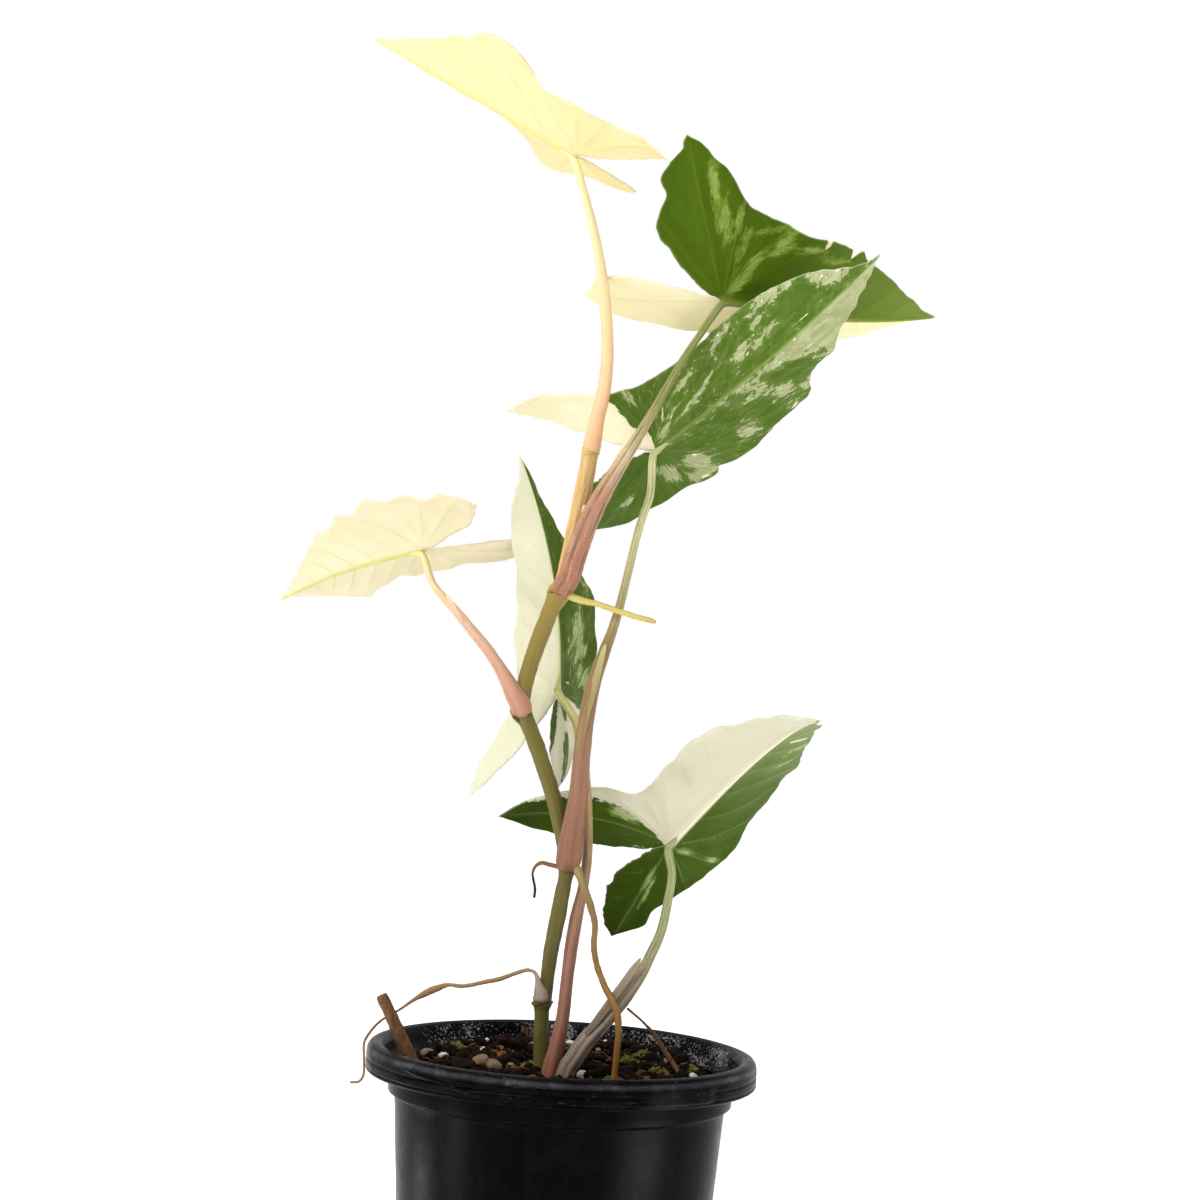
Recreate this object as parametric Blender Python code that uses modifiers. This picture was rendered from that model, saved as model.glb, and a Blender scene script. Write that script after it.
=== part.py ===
"""Arrowhead plant with cream and green leaves, growing in a black nursery pot.

The origin is the middle of the pot's underside. Z is up, X runs to the right and Y away from
the side that shows the leaves' undersides. Sizes and routes are in millimetres, angles in
degrees; the last step of each shape makes metres.
"""

import math
import random
from dataclasses import dataclass

import bmesh
import bpy
import numpy as np
from mathutils import Euler, Vector, noise

MM = 0.001
GAP = 0.35
WELD = 0.00001

# Driving dimensions of the pot
POT_HEIGHT = 90.0
RIM_OUTER_RADIUS = 52.5
RIM_INNER_RADIUS = 47.5
LIP_DEPTH = 7.5
CHANNEL_DEPTH = 4.0
BAND_RADIUS = 46.2
BAND_HEIGHT = 77.0
BODY_TOP_RADIUS = 44.4
BODY_FOOT_RADIUS = 38.5
WALL = 1.5
FLOOR = 2.2
FOOT_BEVEL = 1.2
POT_STEPS = 48
DRAIN_RADIUS = 4.0
DRAIN_CIRCLE = 24.0
DRAIN_COUNT = 4

# Driving dimensions of the soil
SOIL_TOP = 82.0
SOIL_RISE = 2.8
SOIL_BUMP = 0.9
SOIL_STEPS = 32
SOIL_RINGS = 7
CHIP_COUNT = 34
CHIP_SMALLEST = 1.3
CHIP_LARGEST = 2.6
CHIP_CLEARANCE = 5.5
CHIP_REACH = 40.5
SOIL_SEED = 11

# Samples of a round piece for each span of its route
TUBE_SAMPLES = 1.6

# Driving dimensions of the leaves
BLADE = 0.7
MIDRIB = 1.5
ROWS_MIDRIB = 12
ROWS_LOBE = 7
STRIPS = 4
STATIONS = (0.92, 0.78, 0.60, 0.42, 0.23, 0.05)
PETIOLE_END_RADIUS = 0.9

# Finishes: colour, roughness
FINISHES = {
    "pot_plastic": ((0.018, 0.018, 0.019), 0.42),
    "potting_soil": ((0.035, 0.022, 0.014), 0.9),
    "stem_skin": ((0.24, 0.24, 0.08), 0.5),
    "petiole_skin": ((0.55, 0.42, 0.22), 0.45),
    "leaf_cream": ((0.80, 0.76, 0.45), 0.45),
    "leaf_green": ((0.07, 0.16, 0.05), 0.4),
    "root_skin": ((0.36, 0.22, 0.08), 0.7),
    "dry_fibre": ((0.50, 0.40, 0.32), 0.8),
    "dead_wood": ((0.14, 0.09, 0.05), 0.85),
}

# Routes of the round pieces: x, y, z and radius at each point
STEM_FOOT = 60.0
STEM = (
    (-5.0, 0.0, STEM_FOOT, 2.0),
    (-5.5, 0.0, 82.0, 2.0),
    (-6.0, 0.0, 93.0, 2.05),
    (-6.2, 0.0, 99.8, 2.1),
    (-6.2, 0.0, 101.2, 2.6),
    (-6.0, 0.0, 102.6, 2.3),
    (-5.4, 0.0, 106.3, 1.9),
    (-4.6, 0.0, 115.8, 2.05),
    (-3.6, 0.0, 122.5, 2.15),
    (-2.5, 0.0, 130.7, 2.05),
    (-1.7, 0.0, 136.5, 2.1),
    (-1.4, 0.0, 138.6, 3.0),
    (-1.8, 0.0, 140.7, 2.3),
    (-3.7, 0.0, 148.2, 2.05),
    (-6.1, 0.0, 156.2, 2.1),
    (-8.7, 0.0, 163.1, 2.1),
    (-11.8, 0.0, 170.8, 2.2),
    (-14.6, 0.0, 176.8, 2.2),
    (-16.3, 0.0, 179.8, 2.9),
    (-16.4, 0.0, 182.0, 2.3),
    (-15.6, 0.0, 188.3, 2.2),
    (-12.7, 0.0, 199.4, 2.3),
    (-9.6, -1.0, 208.6, 2.4),
    (-7.9, -1.5, 212.7, 3.2),
    (-7.0, -1.8, 215.2, 2.45),
    (-5.9, -2.2, 221.6, 2.3),
    (-4.1, -3.0, 232.6, 2.3),
    (-2.5, -3.8, 243.5, 2.3),
    (-1.6, -4.3, 250.4, 2.3),
    (-1.3, -4.5, 252.6, 2.6),
)
PETIOLES = {
    "A": (
        (-1.1, -4.6, 253.1, 2.45),
        (-0.6, -5.4, 257.1, 2.2),
        (0.0, -7.0, 261.1, 2.05),
        (1.1, -9.0, 266.3, 1.9),
        (1.7, -12.5, 274.7, 1.7),
        (1.2, -15.0, 283.0, 1.6),
        (-0.2, -16.5, 293.4, 1.45),
        (-2.4, -16.5, 304.2, 1.25),
        (-5.1, -14.5, 314.0, 1.15),
        (-7.4, -12.0, 321.4, 1.1),
    ),
    "B": (
        (-5.4, -4.2, 216.5, 3.0),
        (-4.1, -5.0, 222.3, 3.0),
        (-2.2, -6.0, 228.8, 2.85),
        (-0.1, -7.0, 234.3, 2.7),
        (3.0, -9.0, 240.8, 2.3),
        (7.0, -11.0, 247.8, 1.9),
        (10.9, -13.0, 254.6, 1.5),
        (15.2, -15.5, 262.6, 1.2),
        (18.3, -17.5, 268.6, 1.05),
        (21.8, -19.5, 275.2, 1.0),
        (25.7, -21.2, 281.6, 0.95),
    ),
    "C": (
        (-1.0, -2.3, 141.6, 3.4),
        (-0.7, -2.6, 145.8, 3.25),
        (-0.1, -2.8, 151.2, 2.95),
        (0.6, -2.5, 159.4, 2.55),
        (0.8, -1.5, 168.8, 2.3),
        (1.6, -0.5, 179.7, 2.1),
        (3.0, 0.0, 188.8, 1.9),
        (4.7, 0.3, 197.1, 1.65),
        (6.3, 0.5, 203.2, 1.35),
        (8.3, 0.8, 211.6, 1.15),
        (10.5, 1.2, 221.4, 1.1),
        (13.2, 1.3, 232.6, 1.05),
        (15.5, 1.2, 241.0, 1.05),
    ),
    "D": (
        (-17.0, -2.2, 181.7, 2.7),
        (-18.5, -2.0, 184.3, 2.45),
        (-20.4, -0.5, 187.5, 2.05),
        (-22.9, 1.5, 191.2, 1.65),
        (-26.7, 5.0, 196.1, 1.5),
        (-32.2, 9.0, 202.0, 1.4),
        (-36.9, 13.0, 207.0, 1.25),
        (-40.7, 15.5, 210.6, 1.1),
        (-44.2, 18.0, 214.8, 1.0),
    ),
    "E": (
        (-2.8, -4.3, STEM_FOOT, 2.3),
        (-2.8, -4.3, 83.9, 2.3),
        (-1.7, -4.0, 90.0, 2.0),
        (-0.5, -3.0, 97.1, 1.75),
        (0.2, -1.0, 107.8, 1.6),
        (0.8, 0.3, 116.0, 1.7),
        (1.7, 1.5, 124.1, 1.7),
        (3.1, 2.8, 132.7, 1.35),
        (3.8, 3.8, 140.3, 1.3),
        (3.6, 4.8, 148.4, 1.25),
        (2.8, 6.0, 157.8, 1.25),
        (1.5, 7.3, 166.0, 1.25),
        (0.0, 8.7, 172.2, 1.25),
        (-1.4, 9.8, 177.7, 1.2),
    ),
    "F": (
        (1.3, -7.4, STEM_FOOT, 2.3),
        (1.3, -7.4, 84.6, 2.3),
        (3.5, -7.6, 88.7, 2.35),
        (6.2, -7.3, 93.0, 2.25),
        (9.5, -6.5, 96.8, 2.15),
        (12.5, -5.5, 100.5, 2.0),
        (15.3, -4.0, 103.7, 1.8),
        (17.8, -3.0, 107.2, 1.6),
        (20.3, -1.5, 111.4, 1.5),
        (22.3, 0.0, 115.6, 1.35),
        (25.0, 2.0, 122.3, 1.2),
        (26.5, 4.0, 130.6, 1.1),
        (27.2, 5.0, 137.7, 1.05),
    ),
}
YELLOW_ROOT = (
    (-6.0, -2.6, 212.2, 1.1),
    (-2.1, -3.0, 210.8, 0.95),
    (2.6, -3.2, 210.0, 0.8),
    (7.6, -3.0, 208.6, 0.8),
    (13.7, -3.2, 207.0, 0.75),
    (17.2, -3.6, 206.3, 0.7),
    (18.9, -4.0, 205.8, 0.5),
)
BROWN_ROOT = (
    (0.4, -2.2, 139.2, 1.1),
    (1.5, -3.4, 137.6, 1.1),
    (3.1, -3.3, 133.9, 1.05),
    (5.3, -3.0, 128.7, 0.95),
    (6.9, -3.0, 123.4, 0.8),
    (6.9, -3.3, 118.1, 0.8),
    (8.0, -4.2, 112.9, 0.8),
    (10.2, -6.5, 108.0, 0.85),
    (12.5, -9.0, 104.4, 0.95),
    (14.0, -10.3, 101.3, 0.95),
    (14.6, -10.8, 96.9, 0.85),
    (14.5, -10.2, 91.0, 0.8),
    (14.2, -9.5, 84.0, 0.8),
    (14.0, -9.0, 76.0, 0.8),
)
THIN_ROOT = (
    (-3.6, -0.6, 138.2, 0.7),
    (-6.4, -1.0, 138.8, 0.6),
    (-8.6, -1.4, 139.1, 0.55),
    (-10.0, -1.6, 138.2, 0.45),
    (-10.7, -1.8, 136.3, 0.35),
    (-10.3, -1.8, 134.2, 0.35),
    (-9.8, -1.7, 132.0, 0.35),
    (-9.9, -1.5, 129.6, 0.35),
)
DRIED_STALK = (
    (-6.5, -1.7, 101.6, 2.6),
    (-6.6, -2.0, 104.0, 1.9),
    (-7.3, -2.3, 106.4, 1.1),
    (-7.8, -2.4, 108.4, 0.6),
    (-8.7, -2.0, 109.8, 0.45),
    (-10.5, -1.4, 110.2, 0.5),
    (-14.2, -0.6, 108.9, 0.55),
    (-17.9, 0.6, 107.2, 0.65),
    (-21.7, 1.6, 106.1, 0.6),
    (-28.0, 3.0, 104.4, 0.55),
    (-32.1, 4.5, 104.3, 0.55),
    (-35.1, 5.0, 103.2, 0.95),
    (-38.6, 5.0, 101.4, 0.9),
    (-41.4, 5.0, 99.6, 0.5),
    (-45.0, 4.0, 96.9, 0.35),
    (-47.7, 2.0, 95.4, 0.35),
    (-50.0, -1.0, 93.8, 0.35),
    (-51.6, -5.0, 91.9, 0.35),
    (-52.5, -10.5, 89.8, 0.35),
    (-52.0, -14.0, 87.2, 0.35),
    (-51.6, -15.8, 84.6, 0.35),
    (-51.6, -16.3, 82.3, 0.35),
    (-52.7, -16.4, 80.6, 0.35),
    (-55.0, -16.4, 80.3, 0.35),
)
CUT_STUMP = (
    (-49.4, -3.0, 101.6, 1.5),
    (-47.3, -2.6, 97.6, 1.6),
    (-44.6, -2.2, 92.4, 1.75),
    (-42.2, -2.0, 87.7, 1.9),
    (-39.2, -1.0, 81.3, 2.0),
    (-36.0, 0.0, 72.0, 2.0),
)
DRY_TWIG = (
    (17.1, 14.0, 99.5, 0.35),
    (21.7, 13.0, 96.1, 0.35),
    (25.2, 11.5, 92.7, 0.6),
    (28.4, 10.0, 88.4, 0.7),
    (31.6, 8.0, 84.3, 0.6),
    (34.5, 6.0, 78.0, 0.5),
)


@dataclass
class Half:
    """One half of a leaf blade, from the midrib out, with its basal lobe."""

    widths: tuple
    fold: float
    base_fold: float
    curl: float
    lobe: float
    spread: float
    lobe_width: float
    lift: float
    wave: float = 0.8
    waves: float = 2.5
    phase: float = 0.0


@dataclass
class Leaf:
    """A blade: where its petiole joins it, how it points, and how its spine bends.

    The seat is how much further below the blade the petiole ends than its thickness asks.
    """

    name: str
    finish: str
    base: tuple
    azimuth: float
    rise: float
    roll: float
    length: float
    droop: float
    droop_more: float
    sweep: float
    twist: float
    left: Half
    right: Half
    seat: float = -0.3

    def turn(self):
        """Rotation of the blade, as Blender's XYZ angles in radians."""
        return Euler((math.radians(self.roll), math.radians(-self.rise), math.radians(self.azimuth)))

    def below(self, depth):
        """The point this far under the place where the petiole joins."""
        upward = self.turn().to_matrix() @ Vector((0.0, 0.0, 1.0))
        return tuple(Vector(self.base) - upward * depth)


LEAVES = (
    Leaf(
        "blade_A", "leaf_cream", (-9.7, -8.2, 332.0), 185, 24, 8, 65, -17, 12, -12, 10,
        left=Half((2.5, 8, 17, 23.5, 17, 19.5), 28, 24, -18, 38, 128, 7, -26, 0.9, 2.5, 0.6),
        right=Half((2.5, 7.5, 13.5, 17.5, 22, 20.5), 31, 14, -17, 27, 133, 8.5, 26, 0.9, 2.0, 2.0),
    ),
    Leaf(
        "blade_B", "leaf_cream", (31.4, -18.9, 292.1), 16, -8, -37, 73, -46, 14, 7, 4,
        left=Half((2, 7, 12.5, 16.5, 17.5, 19.5), 24, 36, -24, 41, 141, 12.5, 32, 0.8, 2.5, 0.0),
        right=Half((2, 8, 15.5, 21, 22, 25), 24, 30, -1, 45, 120, 13.5, 0, 1.0, 3.0, 1.5),
    ),
    Leaf(
        "blade_C", "leaf_green", (16.8, 2.0, 253.4), -41, 30, -58, 90, 9, 3, -7, 6,
        left=Half((2.5, 7, 11.5, 18.5, 19.5, 20.5), 33, 34, 8, 38, 163, 12, 9, 0.9, 3.0, 0.4),
        right=Half((2, 9.5, 14.5, 15.5, 16.0, 18.5), 25, 25, -29, 48.5, 119, 7, -15, 0.5, 3.0, 2.2),
    ),
    Leaf(
        "blade_D", "leaf_cream", (-47.5, 19.9, 223.9), 158, -10, 34, 52, 6, -2, -19, 5,
        left=Half((1.5, 5.5, 11.5, 14, 17.5, 18.5), 42, 35, -36, 37.5, 138, 7, -55, 0.6, 2.5, 0.0),
        right=Half((1.5, 5, 9.5, 10.5, 11.5, 15.5), 8, 37, -25, 32.5, 137, 8, 44, 0.6, 2.5, 1.2),
    ),
    Leaf(
        "blade_E", "leaf_cream", (-6.8, 11.9, 185.5), -89, 108, -7, 70, 24, 5, -23, 15,
        left=Half((2, 4, 10, 16.5, 18, 17), 43, 68, 4, 27, 157, 10, 24, 0.7, 2.5, 0.8),
        right=Half((2, 8, 11.5, 13.5, 15, 14.5), 32, 21, 16, 42, 125, 6, 0, 0.7, 2.5, 2.4),
        seat=0.55,
    ),
    Leaf(
        "blade_F", "leaf_green", (26.2, 6.3, 145.6), -44, 43, -44, 81, 33, 16, -5, 9,
        left=Half((2.5, 7, 11.5, 17, 17, 17), 26, 10, 16, 38.5, 170, 10.5, 2, 0.8, 2.5, 0.0),
        right=Half((2.5, 7, 12, 16, 15.5, 16), 16, 37, -25, 51, 118, 10, -2, 0.6, 3.0, 1.0),
    ),
)


def clear_scene():
    """Removes whatever the scene holds."""
    for thing in list(bpy.data.objects):
        bpy.data.objects.remove(thing, do_unlink=True)


def make_collection(name):
    """A new collection in the scene."""
    collection = bpy.data.collections.new(name)
    bpy.context.scene.collection.children.link(collection)
    return collection


def make_finishes():
    """One Principled material for each finish."""
    made = {}
    for name, (colour, roughness) in FINISHES.items():
        material = bpy.data.materials.new(name)
        material.use_nodes = True
        shader = material.node_tree.nodes["Principled BSDF"]
        shader.inputs["Base Color"].default_value = (*colour, 1.0)
        shader.inputs["Roughness"].default_value = roughness
        shader.inputs["Metallic"].default_value = 0.0
        material.diffuse_color = (*colour, 1.0)
        made[name] = material
    return made


def add_object(name, mesh, collection, material):
    """An object of this mesh, with its finish, in the collection."""
    thing = bpy.data.objects.new(name, mesh)
    collection.objects.link(thing)
    if material is not None:
        mesh.materials.append(material)
    return thing


def attach(child, parent):
    """Parents the child, which keeps its place."""
    child.parent = parent
    child.location -= parent.matrix_basis.translation
    above = parent.parent
    while above is not None:
        child.location -= above.location
        above = above.parent


def step_on(low, high, low_knot, high_knot, knot):
    """The value at a knot on the straight run between two others."""
    return low + (high - low) * (knot - low_knot) / (high_knot - low_knot)


def smooth_line(points, count):
    """Evenly spread samples of a centripetal Catmull-Rom line through the points."""
    points = np.array(points, float)
    held = np.vstack([2 * points[0] - points[1], points, 2 * points[-1] - points[-2]])
    knots = np.concatenate([[0.0], np.cumsum(np.linalg.norm(np.diff(held, axis=0), axis=1) ** 0.5)])
    along = np.concatenate([[0.0], np.cumsum(np.linalg.norm(np.diff(points, axis=0), axis=1))])
    wanted = np.interp(np.linspace(0.0, along[-1], count), along, knots[1:-1])
    line = []
    for t in wanted:
        i = int(np.clip(np.searchsorted(knots, t, side="right") - 1, 1, len(points) - 1))
        p = held[i - 1:i + 3]
        k = knots[i - 1:i + 3]
        first = [step_on(p[j], p[j + 1], k[j], k[j + 1], t) for j in range(3)]
        second = [step_on(first[j], first[j + 1], k[j], k[j + 2], t) for j in range(2)]
        line.append(step_on(second[0], second[1], k[1], k[2], t))
    return np.array(line)


def tube_curve(name, route, extra, collection):
    """A capped round curve along the route, with the radius of each point made larger by extra."""
    line = smooth_line(route, round((len(route) - 1) * TUBE_SAMPLES) + 1)
    start = Vector(line[0][:3])
    data = bpy.data.curves.new(name, "CURVE")
    data.dimensions = "3D"
    data.bevel_depth = MM
    data.bevel_resolution = 2
    data.use_fill_caps = True
    spline = data.splines.new("POLY")
    spline.points.add(len(line) - 1)
    for point, (x, y, z, radius) in zip(spline.points, line):
        point.co = (*((Vector((x, y, z)) - start) * MM), 1.0)
        point.radius = radius + extra
    thing = bpy.data.objects.new(name, data)
    thing.location = start * MM
    collection.objects.link(thing)
    return thing


def curve_to_mesh(curve, collection, material):
    """A mesh object in place of the curve, with its caps welded."""
    bpy.context.view_layer.update()
    graph = bpy.context.evaluated_depsgraph_get()
    mesh = bpy.data.meshes.new_from_object(curve.evaluated_get(graph))
    name = curve.name
    place = curve.matrix_world.copy()
    bpy.data.objects.remove(curve, do_unlink=True)
    mesh.name = name
    sheet = bmesh.new()
    sheet.from_mesh(mesh)
    bmesh.ops.remove_doubles(sheet, verts=sheet.verts, dist=WELD)
    sheet.to_mesh(mesh)
    sheet.free()
    mesh.shade_smooth()
    mesh.set_sharp_from_angle(angle=math.radians(50))
    mesh.materials.clear()
    thing = add_object(name, mesh, collection, material)
    thing.matrix_world = place
    return thing


def tube(name, route, collection, material, extra=0.0):
    """A round solid along the route."""
    return curve_to_mesh(tube_curve(name, route, extra, collection), collection, material)


def hide_cutter(cutter):
    """Shows a cutter as wires and keeps it out of renders."""
    cutter.hide_render = True
    cutter.display_type = "WIRE"


def cut(thing, cutter):
    """Takes the cutter away from the object."""
    change = thing.modifiers.new("clear_of_" + cutter.name, "BOOLEAN")
    change.operation = "DIFFERENCE"
    change.solver = "EXACT"
    change.object = cutter


def pot_profile():
    """Points of half the pot's section, from the inner floor over the lip to the underside."""
    lip_bottom = POT_HEIGHT - LIP_DEPTH
    wall_slope = (BODY_TOP_RADIUS - BODY_FOOT_RADIUS) / BAND_HEIGHT
    inner_foot = BODY_FOOT_RADIUS - WALL + wall_slope * FLOOR
    crest = (RIM_INNER_RADIUS + RIM_OUTER_RADIUS) / 2
    skirt = RIM_OUTER_RADIUS - WALL
    return (
        (0.0, FLOOR),
        (DRAIN_CIRCLE - DRAIN_RADIUS - 2.0, FLOOR),
        (inner_foot - 1.0, FLOOR),
        (inner_foot, FLOOR + 1.0),
        (BODY_TOP_RADIUS - WALL, BAND_HEIGHT - 1.0),
        (BAND_RADIUS - WALL, BAND_HEIGHT + 0.6),
        (BAND_RADIUS - WALL + 0.4, lip_bottom),
        (RIM_INNER_RADIUS - 0.6, POT_HEIGHT - 4.5),
        (RIM_INNER_RADIUS, POT_HEIGHT - 2.0),
        (RIM_INNER_RADIUS + 1.0, POT_HEIGHT - 0.5),
        (crest, POT_HEIGHT),
        (RIM_OUTER_RADIUS - 1.0, POT_HEIGHT - 0.4),
        (RIM_OUTER_RADIUS - 0.2, POT_HEIGHT - 1.5),
        (RIM_OUTER_RADIUS, POT_HEIGHT - 3.0),
        (RIM_OUTER_RADIUS, lip_bottom + 0.4),
        (RIM_OUTER_RADIUS - 0.5, lip_bottom),
        (skirt, lip_bottom),
        (skirt - 0.3, lip_bottom + CHANNEL_DEPTH),
        (BAND_RADIUS + 1.0, lip_bottom + CHANNEL_DEPTH),
        (BAND_RADIUS, lip_bottom - 0.5),
        (BAND_RADIUS, BAND_HEIGHT + 0.3),
        (BODY_TOP_RADIUS, BAND_HEIGHT - 0.5),
        (BODY_FOOT_RADIUS + FOOT_BEVEL * 0.2, FOOT_BEVEL),
        (BODY_FOOT_RADIUS - FOOT_BEVEL, 0.0),
        (DRAIN_CIRCLE - DRAIN_RADIUS - 2.0, 0.0),
        (0.0, 0.0),
    )


def turn_profile(name, profile, steps, collection, material):
    """A solid of revolution about Z, from a profile in X and Z."""
    mesh = bpy.data.meshes.new(name)
    edges = [(i, i + 1) for i in range(len(profile) - 1)]
    mesh.from_pydata([(x * MM, 0.0, z * MM) for x, z in profile], edges, [])
    thing = add_object(name, mesh, collection, material)
    screw = thing.modifiers.new("turned", "SCREW")
    screw.axis = "Z"
    screw.angle = math.tau
    screw.steps = steps
    screw.render_steps = steps
    screw.use_merge_vertices = True
    screw.merge_threshold = MM * 0.1
    return thing


def apply_modifiers(thing):
    """Replaces the object's mesh with what its modifiers make of it."""
    bpy.context.view_layer.update()
    graph = bpy.context.evaluated_depsgraph_get()
    mesh = bpy.data.meshes.new_from_object(thing.evaluated_get(graph))
    old = thing.data
    thing.modifiers.clear()
    thing.data = mesh
    bpy.data.meshes.remove(old)
    mesh.name = thing.name


def make_pot(collection, cutters, material):
    """The pot, with its lip rolled over and drain holes in its floor."""
    pot = turn_profile("pot", pot_profile(), POT_STEPS, collection, material)
    apply_modifiers(pot)
    pot.data.shade_smooth()
    pot.data.set_sharp_from_angle(angle=math.radians(35))
    for i in range(DRAIN_COUNT):
        angle = math.tau * (i + 0.5) / DRAIN_COUNT
        bore = bmesh.new()
        bmesh.ops.create_cone(
            bore, cap_ends=True, segments=12, radius1=DRAIN_RADIUS * MM,
            radius2=DRAIN_RADIUS * MM, depth=FLOOR * 4 * MM,
        )
        mesh = bpy.data.meshes.new("drain_%d" % i)
        bore.to_mesh(mesh)
        bore.free()
        cutter = add_object("drain_%d" % i, mesh, cutters, None)
        cutter.location = (
            DRAIN_CIRCLE * MM * math.cos(angle), DRAIN_CIRCLE * MM * math.sin(angle), FLOOR / 2 * MM,
        )
        hide_cutter(cutter)
        cut(pot, cutter)
    return pot


def soil_height(x, y):
    """Height of the soil: a little higher towards the far wall, and lumpy."""
    far = min(max((y - 4.0) / 40.0, 0.0), 1.0)
    lumps = noise.noise(Vector((x, y, 3.0)) / 7.0) + 0.5 * noise.noise(Vector((x, y, 9.0)) / 3.0)
    return SOIL_TOP + SOIL_RISE * far * far * (3 - 2 * far) + SOIL_BUMP * lumps


def soil_profile():
    """Points of half the soil's section, from the middle of its top to the middle of its foot."""
    slope = (BODY_TOP_RADIUS - BODY_FOOT_RADIUS) / BAND_HEIGHT
    foot = FLOOR + GAP
    foot_radius = BODY_FOOT_RADIUS - WALL - GAP + slope * foot - 1.4
    wide = BAND_RADIUS - WALL - GAP - 0.4
    top = [(wide * i / SOIL_RINGS, SOIL_TOP) for i in range(SOIL_RINGS + 1)]
    return (
        *top,
        (wide, BAND_HEIGHT + 1.2),
        (BODY_TOP_RADIUS - WALL - GAP - 0.3, BAND_HEIGHT - 1.4),
        (foot_radius, foot + 1.0),
        (foot_radius - 1.0, foot),
        (0.0, foot),
    )


def add_chips(soil, draw, stems):
    """Sinks crumbs of bark and perlite into the soil and joins them to it."""
    chips = make_collection("chips")
    placed = 0
    while placed < CHIP_COUNT:
        radius = CHIP_REACH * math.sqrt(draw.random())
        angle = math.tau * draw.random()
        x = radius * math.cos(angle)
        y = radius * math.sin(angle)
        if any(math.hypot(x - sx, y - sy) < CHIP_CLEARANCE for sx, sy in stems):
            continue
        size = draw.uniform(CHIP_SMALLEST, CHIP_LARGEST)
        stretch = draw.uniform(0.7, 1.3)
        chip = bmesh.new()
        bmesh.ops.create_icosphere(chip, subdivisions=1, radius=size * MM)
        mesh = bpy.data.meshes.new("chip")
        chip.to_mesh(mesh)
        chip.free()
        thing = add_object("chip_%d" % placed, mesh, chips, None)
        thing.location = (x * MM, y * MM, (soil_height(x, y) + size * 0.15) * MM)
        thing.scale = (stretch, 1.0 / stretch, 0.75)
        thing.rotation_euler = [draw.uniform(-0.6, 0.6), draw.uniform(-0.6, 0.6), draw.uniform(0.0, math.tau)]
        placed += 1
    join = soil.modifiers.new("chips", "BOOLEAN")
    join.operation = "UNION"
    join.solver = "EXACT"
    join.operand_type = "COLLECTION"
    join.collection = chips
    apply_modifiers(soil)
    for thing in list(chips.objects):
        bpy.data.objects.remove(thing, do_unlink=True)
    bpy.data.collections.remove(chips)


def route_at_height(route, height):
    """Where a route that rises passes a height, in X and Y."""
    line = smooth_line(route, len(route) * 4)
    nearest = min(line, key=lambda point: abs(point[2] - height))
    return nearest[0], nearest[1]


def make_soil(collection, cutters, material, planted):
    """The potting soil, with a plain hole for each stem that stands in it."""
    soil = turn_profile("soil", soil_profile(), SOIL_STEPS, collection, material)
    apply_modifiers(soil)
    for vertex in soil.data.vertices:
        x, y, z = (value / MM for value in vertex.co)
        if z > SOIL_TOP - 0.01:
            vertex.co.z = soil_height(x, y) * MM
    stems = [route_at_height(route, SOIL_TOP) for route in planted.values()]
    add_chips(soil, random.Random(SOIL_SEED), stems)
    for name, route in planted.items():
        hole = tube("hole_" + name, route, cutters, None, GAP)
        hide_cutter(hole)
        cut(soil, hole)
    return soil


def half_rails(leaf, half):
    """Inner and outer edge of a flat half blade, tip first, as X along the midrib and Y out from it."""
    angle = math.radians(half.spread)
    out = np.array([math.cos(angle), math.sin(angle)])
    side = np.array([math.sin(angle), -math.cos(angle)])
    reach = half.lobe
    wide = half.lobe_width
    outer = [(leaf.length, 0.0)]
    outer += [(share * leaf.length, width) for share, width in zip(STATIONS, half.widths)]
    outer += [0.50 * reach * out + 0.95 * wide * side, 0.82 * reach * out + 0.55 * wide * side, reach * out]
    inner = [(0.0, 0.0), 0.10 * reach * out - 0.35 * wide * side, 0.45 * reach * out - 0.85 * wide * side]
    inner += [0.80 * reach * out - 0.60 * wide * side, reach * out]
    midrib = np.stack([np.linspace(leaf.length, 0.0, ROWS_MIDRIB + 1), np.zeros(ROWS_MIDRIB + 1)], 1)
    inner_line = np.vstack([midrib, smooth_line(inner, ROWS_LOBE + 1)[1:]])
    return inner_line, smooth_line(outer, ROWS_MIDRIB + ROWS_LOBE + 1)


def bend_lobe(half, x, y):
    """Curls the basal lobe up or down along its length. Returns flat X and Y, and the height."""
    angle = math.radians(half.spread)
    out_x = math.cos(angle)
    out_y = math.sin(angle)
    reach = x * out_x + y * out_y
    start = 0.30 * half.lobe
    if reach <= start:
        return x, y, 0.0
    turn = math.radians(half.lift) or 1e-6
    span = half.lobe - start
    share = min((reach - start) / span, 1.3)
    moved = start + span / turn * math.sin(turn * share) - reach
    return x + moved * out_x, y + moved * out_y, span / turn * (1 - math.cos(turn * share))


def fold_half(leaf, half, x, y, height):
    """Folds a half blade up from the midrib and curls it. Returns the distance out and the height."""
    near = min(max(1 - x / (0.45 * leaf.length), 0.0), 1.0)
    near = near * near * (3 - 2 * near)
    fold = math.radians(half.fold + (half.base_fold - half.fold) * near)
    curl = math.radians(half.curl) / half.widths[4]
    turn = fold + curl * y
    out = (math.sin(turn) - math.sin(fold)) / curl - height * math.sin(turn)
    up = -(math.cos(turn) - math.cos(fold)) / curl + height * math.cos(turn)
    return out, up


def spine_turn(leaf, share):
    """How the blade is turned at a share of its length."""
    droop = math.radians(leaf.droop * share + leaf.droop_more * share * share)
    return Euler((0.0, droop, math.radians(leaf.sweep * share))).to_matrix()


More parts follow.
